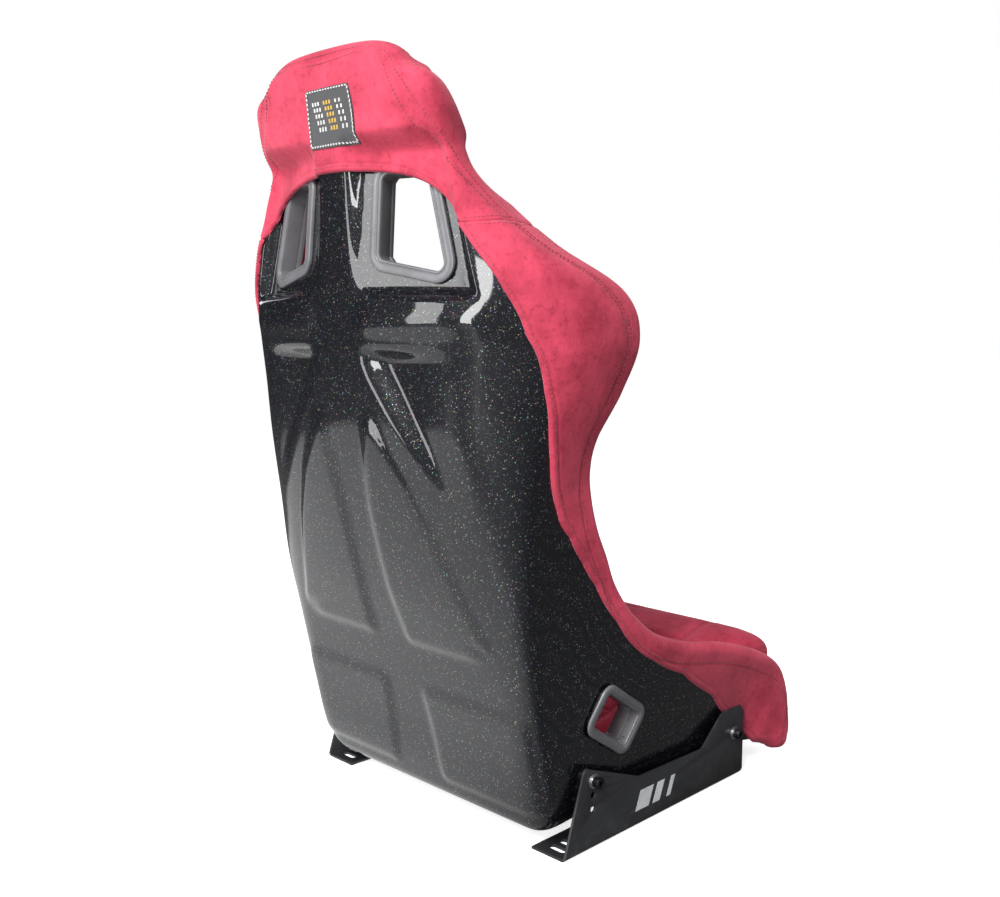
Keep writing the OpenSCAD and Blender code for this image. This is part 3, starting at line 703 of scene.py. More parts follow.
def chinBulge(s, u):
    # the padding hangs lower under the front corner
    return 13 * np.exp(-((s - 0.45) / 0.75) ** 2 - ((u - 0.62) / 0.15) ** 2)


def makeSideCover(side):
    f = coverForm
    rows, cols = 260, 64
    sEnd = coverForm["split"] - 0.004
    s1 = np.linspace(-rollOut, sEnd, rows)
    s, w = np.meshgrid(s1, eased(cols, 0.75), indexing="ij")
    trim = trimAt(s)
    t = (trim + (wrap - trim) * w) * side
    p, n = skin(s, t), outward(s, t)
    edge, rim = skin(s, trim * side), skin(s, wrap * side * np.ones(s.shape))
    hemGap, rimGap = gapBetween(p, edge), gapBetween(p, rim)
    past = np.maximum(np.abs(t) - 1, np.maximum(-s, 0))
    front = gapBetween(p, skin(-rollOut * np.ones(s.shape), t))
    seam = np.abs(s - sEnd) * 46
    rimGap = rimGap * f["seamIn"] / seamPlace(s)
    rise = coverRise(np.minimum(hemGap, 40), np.minimum(rimGap, front + 8), past, seam)
    rise = rise + chinBulge(s, np.abs(t))
    rise = rise + 0.35 * ripple(p, 17, side + 2) * smooth(hemGap / 12) * smooth(rimGap / 12)
    far = toFrame(p + n * rise[..., None])
    low = -shellWall - 1 + (0.35 + shellWall + 1) * rollDepth(past)
    near = toFrame(p + n * np.minimum(low, rise - 0.02)[..., None])
    name = "sideCoverRight" if side > 0 else "sideCoverLeft"
    node = "side_cover_right" if side > 0 else "side_cover_left"
    piece = finishPiece(pillow(name, far, near), suede, root, [node])
    return piece


def makeFrontCover():
    s, w = np.meshgrid(np.linspace(-rollOut, 1.4, 60), np.linspace(-1, 1, 90), indexing="ij")
    t = w * 0.497
    p, n = skin(s, t), outward(s, t)
    past = np.maximum(-s, 0)
    back = gapBetween(p, skin(1.4 * np.ones(s.shape), t))
    rise = coverRise(np.minimum(back, 40), 100 + 0 * s, past, gapBetween(p, skin(s, 0.497 * np.sign(w + 1e-6))))
    rise = rise + chinBulge(s, np.abs(t))
    far = toFrame(p + n * rise[..., None])
    low = -shellWall - 1 + (0.35 + shellWall + 1) * rollDepth(past)
    near = toFrame(p + n * np.minimum(low, rise - 0.02)[..., None])
    piece = finishPiece(pillow("frontCover", far, near), suede, root, ["front_cover"])


def headGaps(s, t):
    p = skin(s, t)
    sideGap = gapBetween(p, skin(s, wrap * np.where(t < 0, -1, 1)))
    topGap = gapBetween(p, skin((top + rollOut) * np.ones(s.shape), t))
    return p, smoothMin(sideGap * coverForm["headSeam"], topGap, 22)


def makeHeadCover():
    w, v = np.meshgrid(eased(150, 0.5), np.linspace(-1, 1, 230), indexing="ij")
    t = (v + 0.09 * np.sin(np.pi * v)) * wrap
    t = np.clip(t, -wrap, wrap)
    s0 = archAt(t)
    s = s0 + (top + rollOut - s0) * w
    p, rimGap = headGaps(s, t)
    n = outward(s, t)
    base = pressed(p, 4.6, 0.95)
    hemGap = gapBetween(p, skin(s0, t))
    past = np.hypot(np.maximum(np.abs(t) - 1, 0), np.maximum(s - top, 0))
    seam = np.where(np.abs(t) > 0.42, np.abs(s - coverForm["split"]) * 46, 1000)
    rise = coverRise(np.where(np.abs(t) > 0.43, 40, hemGap), rimGap, np.minimum(past, rollOut), seam)
    rise = rise + 0.5 * ripple(p, 21, 5) * smooth(hemGap / 12) * smooth(rimGap / 14)
    far = toFrame(base + n * rise[..., None])
    low = -shellWall - 1 + (0.35 + shellWall + 1) * rollDepth(np.minimum(past, rollOut))
    near = toFrame(base + n * np.minimum(low, rise - 0.02)[..., None])
    piece = finishPiece(pillow("headCover", far, near), suede, root, ["head_cover"])
    relax(piece, (0.127, 0.29, 0.868), 0.026, 14)
    return piece


covers = {side: makeSideCover(side) for side in (-1, 1)}
makeFrontCover()
headCover = makeHeadCover()
print("covers made")


# ---- stitching -------------------------------------------------------------------
threadForm = {"pitch": 4.6, "length": 3.3, "radius": 0.42, "sides": 6}


def stitchMesh(name, runs, material, body=root, size=1.0):
    # runs: lists of (place, normal) in metres along each seam; one capsule for each stitch
    f = threadForm
    verts, faces = [], []
    ring = [(math.cos(a), math.sin(a)) for a in np.arange(f["sides"]) * 2 * math.pi / f["sides"]]
    profile = [(-0.5, 0.25, -0.5), (-0.3, 0.9, 0.15), (0, 1.0, 0.35), (0.3, 0.9, 0.15), (0.5, 0.25, -0.5)]
    for places, normals in runs:
        steps = np.linalg.norm(np.diff(places, axis=0), axis=1)
        length = np.concatenate([[0], np.cumsum(steps)])
        count = int(length[-1] / (f["pitch"] * mm))
        if count < 1:
            continue
        at = (np.arange(count) + 0.5) * length[-1] / count
        spots = np.stack([np.interp(at, length, places[:, k]) for k in range(3)], 1)
        ahead = np.stack([np.interp(at + 0.0015, length, places[:, k]) for k in range(3)], 1)
        behind = np.stack([np.interp(at - 0.0015, length, places[:, k]) for k in range(3)], 1)
        ups = np.stack([np.interp(at, length, normals[:, k]) for k in range(3)], 1)
        for spot, a, b, up in zip(spots, ahead, behind, ups):
            run = Vector(a - b).normalized()
            up = (Vector(up) - run * Vector(up).dot(run)).normalized()
            across = run.cross(up)
            start = len(verts)
            for along, wide, lift in profile:
                mid = Vector(spot) + run * along * f["length"] * size * mm + up * lift * f["radius"] * size * mm
                for c, d in ring:
                    verts.append(mid + (across * c + up * d) * wide * f["radius"] * size * mm)
            sides = f["sides"]
            for k in range(len(profile) - 1):
                for j in range(sides):
                    a1, b1 = start + k * sides + j, start + k * sides + (j + 1) % sides
                    faces.append((a1, b1, b1 + sides, a1 + sides))
            faces.append(tuple(start + j for j in reversed(range(sides))))
            faces.append(tuple(start + (len(profile) - 1) * sides + j for j in range(sides)))
    piece = meshPiece(name, verts, faces)
    tidyMesh(piece, 0.000001)
    return finishPiece(piece, material, body)


def surfaceRun(s, t, rise, onHead=False):
    p, n = skin(s, t), outward(s, t)
    if onHead:
        p = pressed(p, 4.6, 0.95)
    return toFrame(p + n * np.broadcast_to(rise, s.shape)[..., None]), n


def rimRun(side, s, shift):
    # points of the side cover along its double seam
    low, high = np.full(s.shape, 0.3), np.full(s.shape, wrap)
    rim = skin(s, wrap * side * np.ones(s.shape))
    for _ in range(24):
        middle = (low + high) / 2
        far = gapBetween(skin(s, middle * side), rim) > seamPlace(s) + shift
        low, high = np.where(far, middle, low), np.where(far, high, middle)
    return low * side


def trimRun(side, s, gap):
    trim = trimAt(s)
    low, high = trim.copy(), np.full(s.shape, wrap)
    edge = skin(s, trim * side)
    for _ in range(24):
        middle = (low + high) / 2
        near = gapBetween(skin(s, middle * side), edge) < gap
        low, high = np.where(near, middle, low), np.where(near, high, middle)
    return low * side


def headRimRun(gap, spread=0.0):
    # the level line of the head cover at a distance in from its rim, found along rays from its middle
    angles = np.radians(np.linspace(-8 - spread, 188 + spread, 260))
    low, high = np.zeros(angles.shape), np.full(angles.shape, 9.0)
    s0, t0 = 18.75, 0.0
    place = lambda r: (s0 + r * np.sin(angles), t0 + 0.35 * r * np.cos(angles))
    for _ in range(30):
        middle = (low + high) / 2
        s, t = place(middle)
        inside = (np.abs(t) < wrap) & (s < top + rollOut)
        gaps = headGaps(np.minimum(s, top + rollOut), np.clip(t, -wrap, wrap))[1]
        low, high = np.where(inside & (gaps > gap), middle, low), np.where(inside & (gaps > gap), high, middle)
    s, t = place(low)
    keep = s > coverForm["split"] + 0.02
    return s[keep], t[keep]


def makeStitching():
    f = coverForm
    doubles, hems = [], []
    for side in (-1, 1):
        s = np.linspace(0.5, f["split"] - 0.03, 700)
        for shift in (-3.4, 3.4):
            doubles.append(surfaceRun(s, rimRun(side, s, shift), f["thick"] - 0.1 + chinBulge(s, 0.9)))
        s = np.linspace(0.4, f["split"] - 0.03, 700)
        hems.append(surfaceRun(s, trimRun(side, s, f["hem"] - 2.6), f["thick"] - 0.05))
        t = np.linspace(0.46, 0.90, 60) * side
        for shift in (-0.075, 0.075):
            hems.append(surfaceRun(np.full(60, f["split"] + shift), t, f["thick"] - 0.1, shift > 0))
    for gap in (f["seamIn"] - 2.6, f["seamIn"] + 2.6):
        s, t = headRimRun(gap)
        doubles.append(surfaceRun(s, t, f["thick"] - 0.1, True))
    t = np.linspace(-0.405, 0.405, 300)
    arch = archAt(t)
    hems.append(surfaceRun(arch + 0.14, t * 0.985, f["thick"] - 0.1, True))
    stitchMesh("rimStitching", doubles, redThread)
    stitchMesh("hemStitching", hems, hemThread)


makeStitching()
print("stitching made")


# ---- pads fixed inside the shell ---------------------------------------------------
padForm = {"gap": 1.8, "shoulder": 32.0, "thigh": 17.0, "head": 19.0}


def padRise(rimGap, innerGap, past, thick, edge):
    # how far a pad stands off the shell's inside: full in the middle, rounded over at its free edges
    swell = edge + (thick - edge) * smooth(rimGap / 70) * smooth(innerGap / 46)
    ends = np.sqrt(np.clip(1 - (1 - np.clip(innerGap / 13, 0, 1)) ** 2, 0, 1))
    return swell * ends * rollDepth(past)


def makeSidePad(name, node, side, sRange, tInner, thick, edge, channels):
    rows, cols = 170, 80
    s, w = np.meshgrid(np.linspace(*sRange, rows), eased(cols, 0.8), indexing="ij")
    inner = tInner(s)
    t = (inner + (wrap - inner) * w) * side
    p, n = skin(s, t), outward(s, t)
    rimGap = gapBetween(p, skin(s, wrap * side * np.ones(s.shape)))
    innerGap = gapBetween(p, skin(s, inner * side))
    endGap = np.minimum(gapBetween(p, skin(np.full(s.shape, sRange[0]), t)),
                        gapBetween(p, skin(np.full(s.shape, sRange[1]), t)))
    past = np.maximum(np.abs(t) - 1, np.maximum(-s, 0))
    rise = padRise(rimGap, innerGap, past, thick, edge)
    ends = np.sqrt(np.clip(1 - (1 - np.clip((endGap + 0.4) / 9, 0, 1)) ** 2, 0, 1))
    rise = rise * (0.35 + 0.65 * ends)
    for gap in channels:
        rise = rise - 2.2 * np.exp(-((rimGap - gap) / 2.4) ** 2)
    rise = rise + 0.5 * ripple(p, 19, 3 + side) * smooth(rimGap / 20) * smooth(innerGap / 20)
    back = padForm["gap"] + shellWall
    near = toFrame(p - n * (back + np.maximum(rise, 0.02))[..., None])
    far = toFrame(p - n * (back * np.ones(s.shape))[..., None])
    piece = pillow(name, far, near)
    finishPiece(piece, suede, root, [node])
    return piece


def cutOpening(piece, place, corners, low, high, margin):
    # cuts an opening's prism out of a pad with a boolean
    tool = meshPiece("cutter", [place @ Vector((*grown, z)) for z in (low, high)
                                for grown in growOutline(corners, margin)],
                     [(3, 2, 1, 0), (4, 5, 6, 7)] + [(k, (k + 1) % 4, 4 + (k + 1) % 4, 4 + k) for k in range(4)])
    tidyMesh(tool)
    cut = piece.modifiers.new("opening", "BOOLEAN")
    cut.operation = "DIFFERENCE"
    cut.solver = "EXACT"
    cut.object = tool
    applyModifiers(piece)
    bpy.data.objects.remove(tool)


def mirrorFrom(piece, source):
    # takes the finished mesh of the other side, mirrored across the seat
    shape = bmesh.new()
    shape.from_mesh(source.data)
    bmesh.ops.scale(shape, vec=(-1, 1, 1), verts=shape.verts)
    bmesh.ops.reverse_faces(shape, faces=shape.faces)
    shape.to_mesh(piece.data)
    shape.free()


def growOutline(corners, margin):
    out = []
    for k in range(len(corners)):
        a, b, c = [Vector(corners[(k + j) % len(corners)]) for j in (-1, 0, 1)]
        e, f = (b - a).normalized(), (c - b).normalized()
        m = (Vector((e.y, -e.x)) + Vector((f.y, -f.x))).normalized()
        out.append(b + m * margin / m.dot(Vector((e.y, -e.x))))
    return out


def makePads():
    for side, word in ((-1, "left"), (1, "right")):
        label = word.capitalize()
        makeSidePad("shoulderBolster" + label, "shoulder_bolster_" + word, side, (12.05, 17.3),
                    lambda s: np.interp(s, [12, 13.5, 16, 17.3], [0.40, 0.37, 0.37, 0.42]),
                    padForm["shoulder"], 12.0, [40.0])
        thigh = makeSidePad("thighBolster" + label, "thigh_bolster_" + word, side, (0.15, 11.95),
                            lambda s: np.full(s.shape, 0.46), padForm["thigh"], 9.0, [34.0])
        if side < 0:
            cutOpening(thigh, lapFrame(side), lapCorners, -50, 10, 3.2)
            finished = thigh
        else:
            mirrorFrom(thigh, finished)
    rows, cols = 120, 200
    s, v = np.meshgrid(np.linspace(17.45, top + rollOut, rows), np.linspace(-1, 1, cols), indexing="ij")
    t = np.clip((v + 0.1 * np.sin(np.pi * v)) * wrap, -wrap, wrap)
    p, rimGap = headGaps(s, t)
    n = outward(s, t)
    lowGap = gapBetween(p, skin(np.full(s.shape, 17.45), t))
    past = np.minimum(np.hypot(np.maximum(np.abs(t) - 1, 0), np.maximum(s - top, 0)), rollOut)
    rise = padRise(rimGap, lowGap, past, padForm["head"], 7.0)
    rise = rise - 2.4 * np.exp(-((rimGap - 38) / 2.4) ** 2)
    rise = rise + 0.6 * ripple(p, 23, 9) * smooth(rimGap / 20)
    base = pressed(p)
    back = padForm["gap"] + shellWall
    far = toFrame(base - n * (back * np.ones(s.shape))[..., None])
    near = toFrame(base - n * (back + np.maximum(rise, 0.02))[..., None])
    pad = pillow("headrestPad", far, near)
    relax(pad, (0.127, 0.29, 0.868), 0.026, 14)
    for side in (-1, 1):
        cutOpening(pad, harnessFrame(side), harnessCorners, -12, 90, 3.0)
    finishPiece(pad, suede, root, ["headrest_pad"])
    return pad


makePads()
print("pads made")


# ---- removable cushions ------------------------------------------------------------
cushionForm = {"knee": 176.0, "hip": 92.0, "floor": 31.0, "voxel": 0.005, "cap": 0.006}


def puff(piece, cap, pressure=4.0):
    # swells the pad by cloth simulation, each point held within a cap of its start
    bpy.ops.object.select_all(action="DESELECT")
    piece.select_set(True)
    bpy.context.view_layer.objects.active = piece
    remesh = piece.modifiers.new("remesh", "REMESH")
    remesh.mode = "VOXEL"
    remesh.voxel_size = cushionForm["voxel"]
    bpy.ops.object.modifier_apply(modifier=remesh.name)
    before = np.array([v.co[:] for v in piece.data.vertices])
    cloth = piece.modifiers.new("cloth", "CLOTH")
    cloth.settings.use_pressure = True
    cloth.settings.uniform_pressure_force = pressure
    cloth.settings.effector_weights.gravity = 0
    cloth.settings.quality = 4
    cloth.settings.tension_stiffness = 20
    cloth.settings.compression_stiffness = 20
    cloth.settings.bending_stiffness = 0.6
    cloth.collision_settings.use_collision = False
    scene = bpy.context.scene
    for step in range(1, 21):
        scene.frame_set(step)
    bpy.ops.object.modifier_apply(modifier=cloth.name)
    scene.frame_set(1)
    after = np.array([v.co[:] for v in piece.data.vertices])
    move = after - before
    size = np.linalg.norm(move, axis=1, keepdims=True)
    held = before + move * np.minimum(1, cap / np.maximum(size, 1e-9))
    piece.data.vertices.foreach_set("co", held.ravel())
    fine = piece.modifiers.new("fine", "SUBSURF")
    fine.levels = 1
    fine.render_levels = 1
    bpy.ops.object.modifier_apply(modifier=fine.name)
    piece.data.update()


def pressGrooves(piece, lines, depth, width):
    # presses sewn channels in along lines of points, towards the inside of the piece
    co = np.empty(len(piece.data.vertices) * 3)
    no = np.empty(len(piece.data.vertices) * 3)
    piece.data.vertices.foreach_get("co", co)
    piece.data.vertices.foreach_get("normal", no)
    co, no = co.reshape(-1, 3), no.reshape(-1, 3)
    gap = np.full(len(co), 1.0)
    for line in lines:
        for start in range(0, len(co), 4000):
            part = co[start:start + 4000]
            d = np.linalg.norm(part[:, None] - line[None], axis=2).min(1)
            gap[start:start + 4000] = np.minimum(gap[start:start + 4000], d)
    co = co - no * (depth * np.exp(-(gap / width) ** 2))[:, None]
    piece.data.vertices.foreach_set("co", co.ravel())
    piece.data.update()


def dropOn(piece, points, direction):
    # where lines through the points along a direction first meet the piece, with its normals
    tree = BVHTree.FromPolygons([v.co for v in piece.data.vertices], [p.vertices for p in piece.data.polygons])
    found, normals = [], []
    for point in points:
        hit, normal, _, _ = tree.ray_cast(Vector(point) - Vector(direction) * 0.3, Vector(direction))
        if hit:
            found.append(hit[:])
            normals.append((normal if normal.dot(Vector(direction)) < 0 else -normal)[:])
    return np.array(found), np.array(normals)


def makeSeatCushion():
    f = cushionForm
    knee, hip, floor = f["knee"], f["hip"], f["floor"]
    mid = lambda share: hip + (knee - hip) * share
    cuts = np.array([
        [-303, 106, knee - 24, 192, 202], [-299, 82, knee - 5, 196, 211], [-287, 70, knee + 3, 198, 215],
        [-266, 68, knee + 5, 196, 214], [-246, 48, knee + 3, 172, 211], [-238, floor + 4, knee + 2, 160, 208],
        [-200, floor + 4, knee - 7, 160, 200], [-150, floor + 4, mid(0.7), 160, 190],
        [-90, floor + 4, mid(0.36), 160, 182], [-30, floor + 4, mid(0.12), 160, 177],
        [40, floor + 4, hip, 160, 176], [90, floor + 4, hip - 3, 158, 173],
        [118, floor + 5, hip - 9, 148, 160], [130, floor + 14, hip - 20, 132, 144]])
    corners = 64
    angle = np.arange(corners) * 2 * np.pi / corners
    power = lambda v, e: np.sign(v) * np.abs(v) ** e
    rings = []
    shrink = 2.0
    for y, low, high, wideLow, wideHigh in cuts:
        h = (power(np.sin(angle), 0.4) + 1) / 2
        z = low + shrink + (high - low - 2 * shrink) * h
        w = wideLow + (wideHigh - wideLow) * h - shrink
        rings.append(np.stack([w * power(np.cos(angle), 0.3), np.full(corners, y), z], 1))
    points = toFrame(np.concatenate(rings))
    faces = [(i * corners + k, i * corners + (k + 1) % corners, (i + 1) * corners + (k + 1) % corners,
              (i + 1) * corners + k) for i in range(len(cuts) - 1) for k in range(corners)]
    faces += [tuple(range(corners)), tuple((len(cuts) - 1) * corners + k for k in range(corners))]
    piece = meshPiece("seatCushion", points.tolist(), faces)
    tidyMesh(piece)
    slotTool = [(-38, -18), (38, -18), (38, 18), (-38, 18)]
    place = Matrix.Scale(mm, 4) @ Matrix.Translation((0, -85, 0))
    cutOpening(piece, place, slotTool, 20, 190, 0)
    puff(piece, f["cap"])
    return piece


seatCushion = makeSeatCushion()


def seatSeams():
    # one panel seam all round the seating area, and cross channels in it
    y = np.linspace(-0.235, 0.118, 200)
    x = np.full(200, 0.128)
    lines = [np.stack([x * side, y, np.zeros(200)], 1) for side in (-1, 1)]
    across = np.linspace(-0.128, 0.128, 120)
    for row in (-0.235, -0.165, -0.01, 0.055, 0.118):
        lines.append(np.stack([across, np.full(120, row), np.zeros(120)], 1))
    return lines


def sewCushion(piece, lines, direction, lift, stitchName, body, depth=0.0035):
    places = [dropOn(piece, line + np.array(lift), direction)[0] for line in lines]
    pressGrooves(piece, [line[::2] for line in places if len(line) > 4], depth, 0.0045)
    runs = []
    for line in lines:
        for shift in (-0.0032, 0.0032):
            step = np.gradient(line, axis=0)
            cross = np.cross(step, direction)
            cross = cross / np.maximum(np.linalg.norm(cross, axis=1, keepdims=True), 1e-9)
            found, normals = dropOn(piece, line + cross * shift + np.array(lift), direction)
            if len(found) > 4:
                runs.append((found, normals))
    return stitchMesh(stitchName, runs, redThread, body)


sewCushion(seatCushion, seatSeams(), (0, 0, -1), (0, 0, 0.2), "seatCushionStitching", "seat_pad")
finishPiece(seatCushion, suede, "seat_pad", ["seat_cushion"])


def innerRelief(p, s):
    # how far the moulded recess pushes the inside of the shell in
    return np.minimum(0, np.where(s > 8, reliefRise(p[..., 0], p[..., 2]), 0))


def makeBackCushion():
    rows, cols = 90, 90
    s, t = np.meshgrid(np.linspace(9.5, 15.5, rows), np.linspace(-0.33, 0.33, cols), indexing="ij")
    p, n = skin(s, t), outward(s, t)
    sideGap = gapBetween(p, skin(s, 0.33 * np.where(t < 0, -1, 1)))
    endGap = np.minimum(gapBetween(p, skin(np.full(s.shape, 9.5), t)), gapBetween(p, skin(np.full(s.shape, 15.5), t)))
    edge = smoothMin(sideGap, endGap, 14)
    back = shellWall + 1.4 + 3.0 + 1.8
    rise = 15 + 15 * smooth(edge / 60)
    far = toFrame(p - n * (back - innerRelief(p, s) * 1.1)[..., None])
    near = toFrame(p - n * (back + rise)[..., None])
    piece = pillow("backCushion", far, near)
    puff(piece, 0.005)
    return piece


backCushion = makeBackCushion()


def backSeams():
    lines = []
    zs = np.linspace(0.165, 0.525, 200)
    for side in (-1, 1):
        lines.append(np.stack([0.105 * side + 0.02 * side * np.sin((zs - 0.16) * 6), np.zeros(200), zs], 1))
    across = np.linspace(-0.105, 0.105, 100)
    for z in (0.22, 0.285, 0.35, 0.415, 0.48):
        lines.append(np.stack([across * 1.12, np.zeros(100), np.full(100, z)], 1))
    return lines


sewCushion(backCushion, backSeams(), (0, 1, 0), (0, -0.1, 0), "backCushionStitching", "back_pad")
finishPiece(backCushion, suede, "back_pad", ["back_cushion"])
print("cushions made")


# ---- rings of the belt openings ------------------------------------------------------
def roundedPath(corners, radius, steps=8):
    # points and outward directions round an outline with rounded corners
    points, ways = [], []
    for k in range(len(corners)):
        a, b, c = [Vector(corners[(k + j) % len(corners)]) for j in (-1, 0, 1)]
        e, f = (b - a).normalized(), (c - b).normalized()
        n1, n2 = Vector((e.y, -e.x)), Vector((f.y, -f.x))
        m = (n1 + n2).normalized()
        centre = b - m * radius / m.dot(n1)
        turn = n1.angle_signed(n2)
        for j in range(steps + 1):
            way = n1.copy()
            way.rotate(Matrix.Rotation(-turn * j / steps, 2))
            points.append(centre + way * radius)
            ways.append(way)
    return points, ways


def sweepRing(name, place, corners, radius, profile, material, replaced):
    points, ways = roundedPath(corners, radius)
    verts, faces = [], []
    wide = len(profile)
    for point, way in zip(points, ways):
        for out, up in profile:
            spot = point + way * out
            verts.append(place @ Vector((spot.x, spot.y, -up)))
    count = len(points)
    for i in range(count):
        for j in range(wide):
            a, b = i * wide + j, i * wide + (j + 1) % wide
            c, d = ((i + 1) % count) * wide + (j + 1) % wide, ((i + 1) % count) * wide + j
            faces.append((a, b, c, d))
    piece = meshPiece(name, verts, faces)
    tidyMesh(piece, 0.000001)
    bevel = piece.modifiers.new("soften", "BEVEL")
    bevel.width = 0.0004
    bevel.segments = 2
    bevel.limit_method = "ANGLE"
    bevel.angle_limit = math.radians(35)
    applyModifiers(piece)
    tidyMesh(piece, 0.000001)
    return finishPiece(piece, material, root, replaced, 40)


harnessProfile = [(13.2, 0.2), (13.2, 3.0), (12.7, 4.0), (11.8, 4.5), (4.6, 4.7), (4.0, 4.4), (3.7, 3.8),
                  (3.2, 3.8), (2.9, 4.3), (2.2, 4.5), (0.9, 4.3), (0.2, 3.4), (0, 1.0), (0, -15), (2.4, -15),
                  (2.4, 0.2)]
lapProfile = [(11.5, -2.6), (11.5, -4.2), (10.9, -5.4), (9.8, -6.0), (3.6, -6.2), (2.7, -5.8), (2.4, -5.1),
              (1.4, -5.2), (0.4, -4.8), (0, -3.8), (0, 7), (2.4, 7), (2.4, -2.6)]

for sign, word in ((-1, "left"), (1, "right")):
    sweepRing("harnessBezel" + word.capitalize(), harnessFrame(sign), harnessCorners, 8, harnessProfile,
              plastic, ["harness_bezel_" + word])
    sweepRing("lapBezel" + word.capitalize(), lapFrame(sign), lapCorners, 5, lapProfile,
              plastic, ["lap_bezel_" + word])
print("belt rings made")


# ---- hard parts refined from the frame -------------------------------------------------
def refined(node, name, material, width=0.0006, segments=2, body=root):
    # a copy of a frame node with merged faces and softened edges
    mesh = nodes[node].data.copy()
    piece = bpy.data.objects.new(name, mesh)
    bpy.context.scene.collection.objects.link(piece)
    shape = bmesh.new()
    shape.from_mesh(mesh)
    bmesh.ops.remove_doubles(shape, verts=shape.verts, dist=0.00003)
    bmesh.ops.dissolve_limit(shape, angle_limit=math.radians(1.5), verts=shape.verts, edges=shape.edges)
    shape.to_mesh(mesh)
    shape.free()
    bevel = piece.modifiers.new("soften", "BEVEL")
    bevel.width = width
    bevel.segments = segments
    bevel.limit_method = "ANGLE"
    bevel.angle_limit = math.radians(38)
    applyModifiers(piece)
    return finishPiece(piece, material, body, [node], 38)


for word in ("left", "right"):
    refined("bracket_" + word, "bracket" + word.capitalize(), powder, 0.0007)
    refined("harness_liner_" + word, "harnessLiner" + word.capitalize(), plastic, 0.0008)
    refined("lap_liner_" + word, "lapLiner" + word.capitalize(), plastic, 0.0008)
refined("crotch_bezel", "crotchBezel", plastic, 0.0008)
refined("mount_bolts", "mountBolts", blackSteel, 0.0005)
refined("mount_washers", "mountWashers", zinc, 0.0003)
refined("spring_washers", "springWashers", zinc, 0.0003)
refined("mount_spacers", "mountSpacers", powder, 0.0005)
refined("bezel_screws", "bezelScrews", zinc, 0.0003)
refined("threaded_inserts", "threadedInserts", zinc, 0.0002)
refined("insert_plates", "insertPlates", zinc, 0.0003)
refined("seat_loop_strips", "seatLoopStrips", tape, 0.0003, 2, "seat_pad")
refined("seat_hook_strips", "seatHookStrips", tape, 0.0003)


def makeBackStrips(name, node, depth, body):
    parts = []
    for side in (-1, 1):
        s, t = np.meshgrid(np.linspace(11, 15.1, 120), side * 0.16 + np.linspace(-0.04, 0.04, 14), indexing="ij")
        p, n = skin(s, t), outward(s, t)
        back = (depth - innerRelief(p, s))[..., None]
        parts.append(pillow(name, toFrame(p - n * back), toFrame(p - n * (back + 1.5))))
    piece, other = parts
    bpy.ops.object.select_all(action="DESELECT")
    for part in parts:
        part.select_set(True)
    bpy.context.view_layer.objects.active = piece
    bpy.ops.object.join()
    piece.name = name
    finishPiece(piece, tape, body, [node])


makeBackStrips("backHookStrips", "back_hook_strips", 4.6, root)
makeBackStrips("backLoopStrips", "back_loop_strips", 6.4, "back_pad")
print("hard parts refined")


# ---- sewn patch and painted bars ----------------------------------------------------------
patchForm = {"s": 20.95, "t": -0.028, "wide": 84, "high": 60, "thick": 1.1}


def patchPoint(x, y, lift):
    # a place on the patch, x to the left and y up in millimetres, on the head cover
    f = patchForm
    middle = skin(np.array(f["s"]), np.array(f["t"]))
    up = skin(np.array(f["s"] + 0.2), np.array(f["t"])) - middle
    across = skin(np.array(f["s"]), np.array(f["t"] + 0.05)) - middle
    s = f["s"] + 0.2 * y / np.linalg.norm(up)
    t = f["t"] + 0.05 * x / np.linalg.norm(across)
    p, n = skin(s, t), outward(s, t)
    return toFrame(pressed(p, 4.6, 0.95) + n * (5.0 + lift)[..., None])


def makePatch():
    f = patchForm
    u, v = np.meshgrid(np.linspace(-1, 1, 40), np.linspace(-1, 1, 56), indexing="ij")
    squareness = 0.03
    x = f["wide"] / 2 * v * np.sqrt(1 - squareness * u * u)
    y = f["high"] / 2 * u * np.sqrt(1 - squareness * v * v)
    edge = np.minimum(f["wide"] / 2 - np.abs(x), f["high"] / 2 - np.abs(y))
    lift = f["thick"] * (0.55 + 0.45 * smooth(edge / 2)) + 0.5 * smooth((4.5 - edge) / 1.5)
    piece = pillow("headPatch", patchPoint(x, y, lift), patchPoint(x, y, np.full(x.shape, -0.8)))
    finishPiece(piece, darkThread, root)
    rows = []
    for row in np.linspace(-0.5, 0.5, 5):
        tilt = 9 * row
        for bar, material in ((-1, 0), (0, 1), (1, 0)):
            line = np.linspace(-7.5, 7.5, 12)
            rows.append((material, bar * 20 + tilt + line, np.full(12, row * 26)))
    for kind, material, label in ((0, whiteThread, "patchWhiteThread"), (1, yellowThread, "patchYellowThread")):
        runs = []
        for which, x, y in rows:
            if which == kind:
                for shift in (-1.6, -0.8, 0.0, 0.8, 1.6):
                    runs.append((patchPoint(x, y + shift, np.full(12, 1.1)), np.tile(patchNormal(), (12, 1))))
        stitchMesh(label, runs, material)
    around = []
    for inset in (2.0, 2.8):
        w, h = f["wide"] / 2 - inset, f["high"] / 2 - inset
        for a, b in (((-w, -h), (w, -h)), ((w, -h), (w, h)), ((w, h), (-w, h)), ((-w, h), (-w, -h))):
            x, y = np.linspace(a[0], b[0], 30), np.linspace(a[1], b[1], 30)
            around.append((patchPoint(x, y, np.full(30, 1.5)), np.tile(patchNormal(), (30, 1))))
    stitchMesh("patchBorderThread", around, whiteThread)


def patchNormal():
    return outward(np.array(patchForm["s"]), np.array(patchForm["t"]))


makePatch()


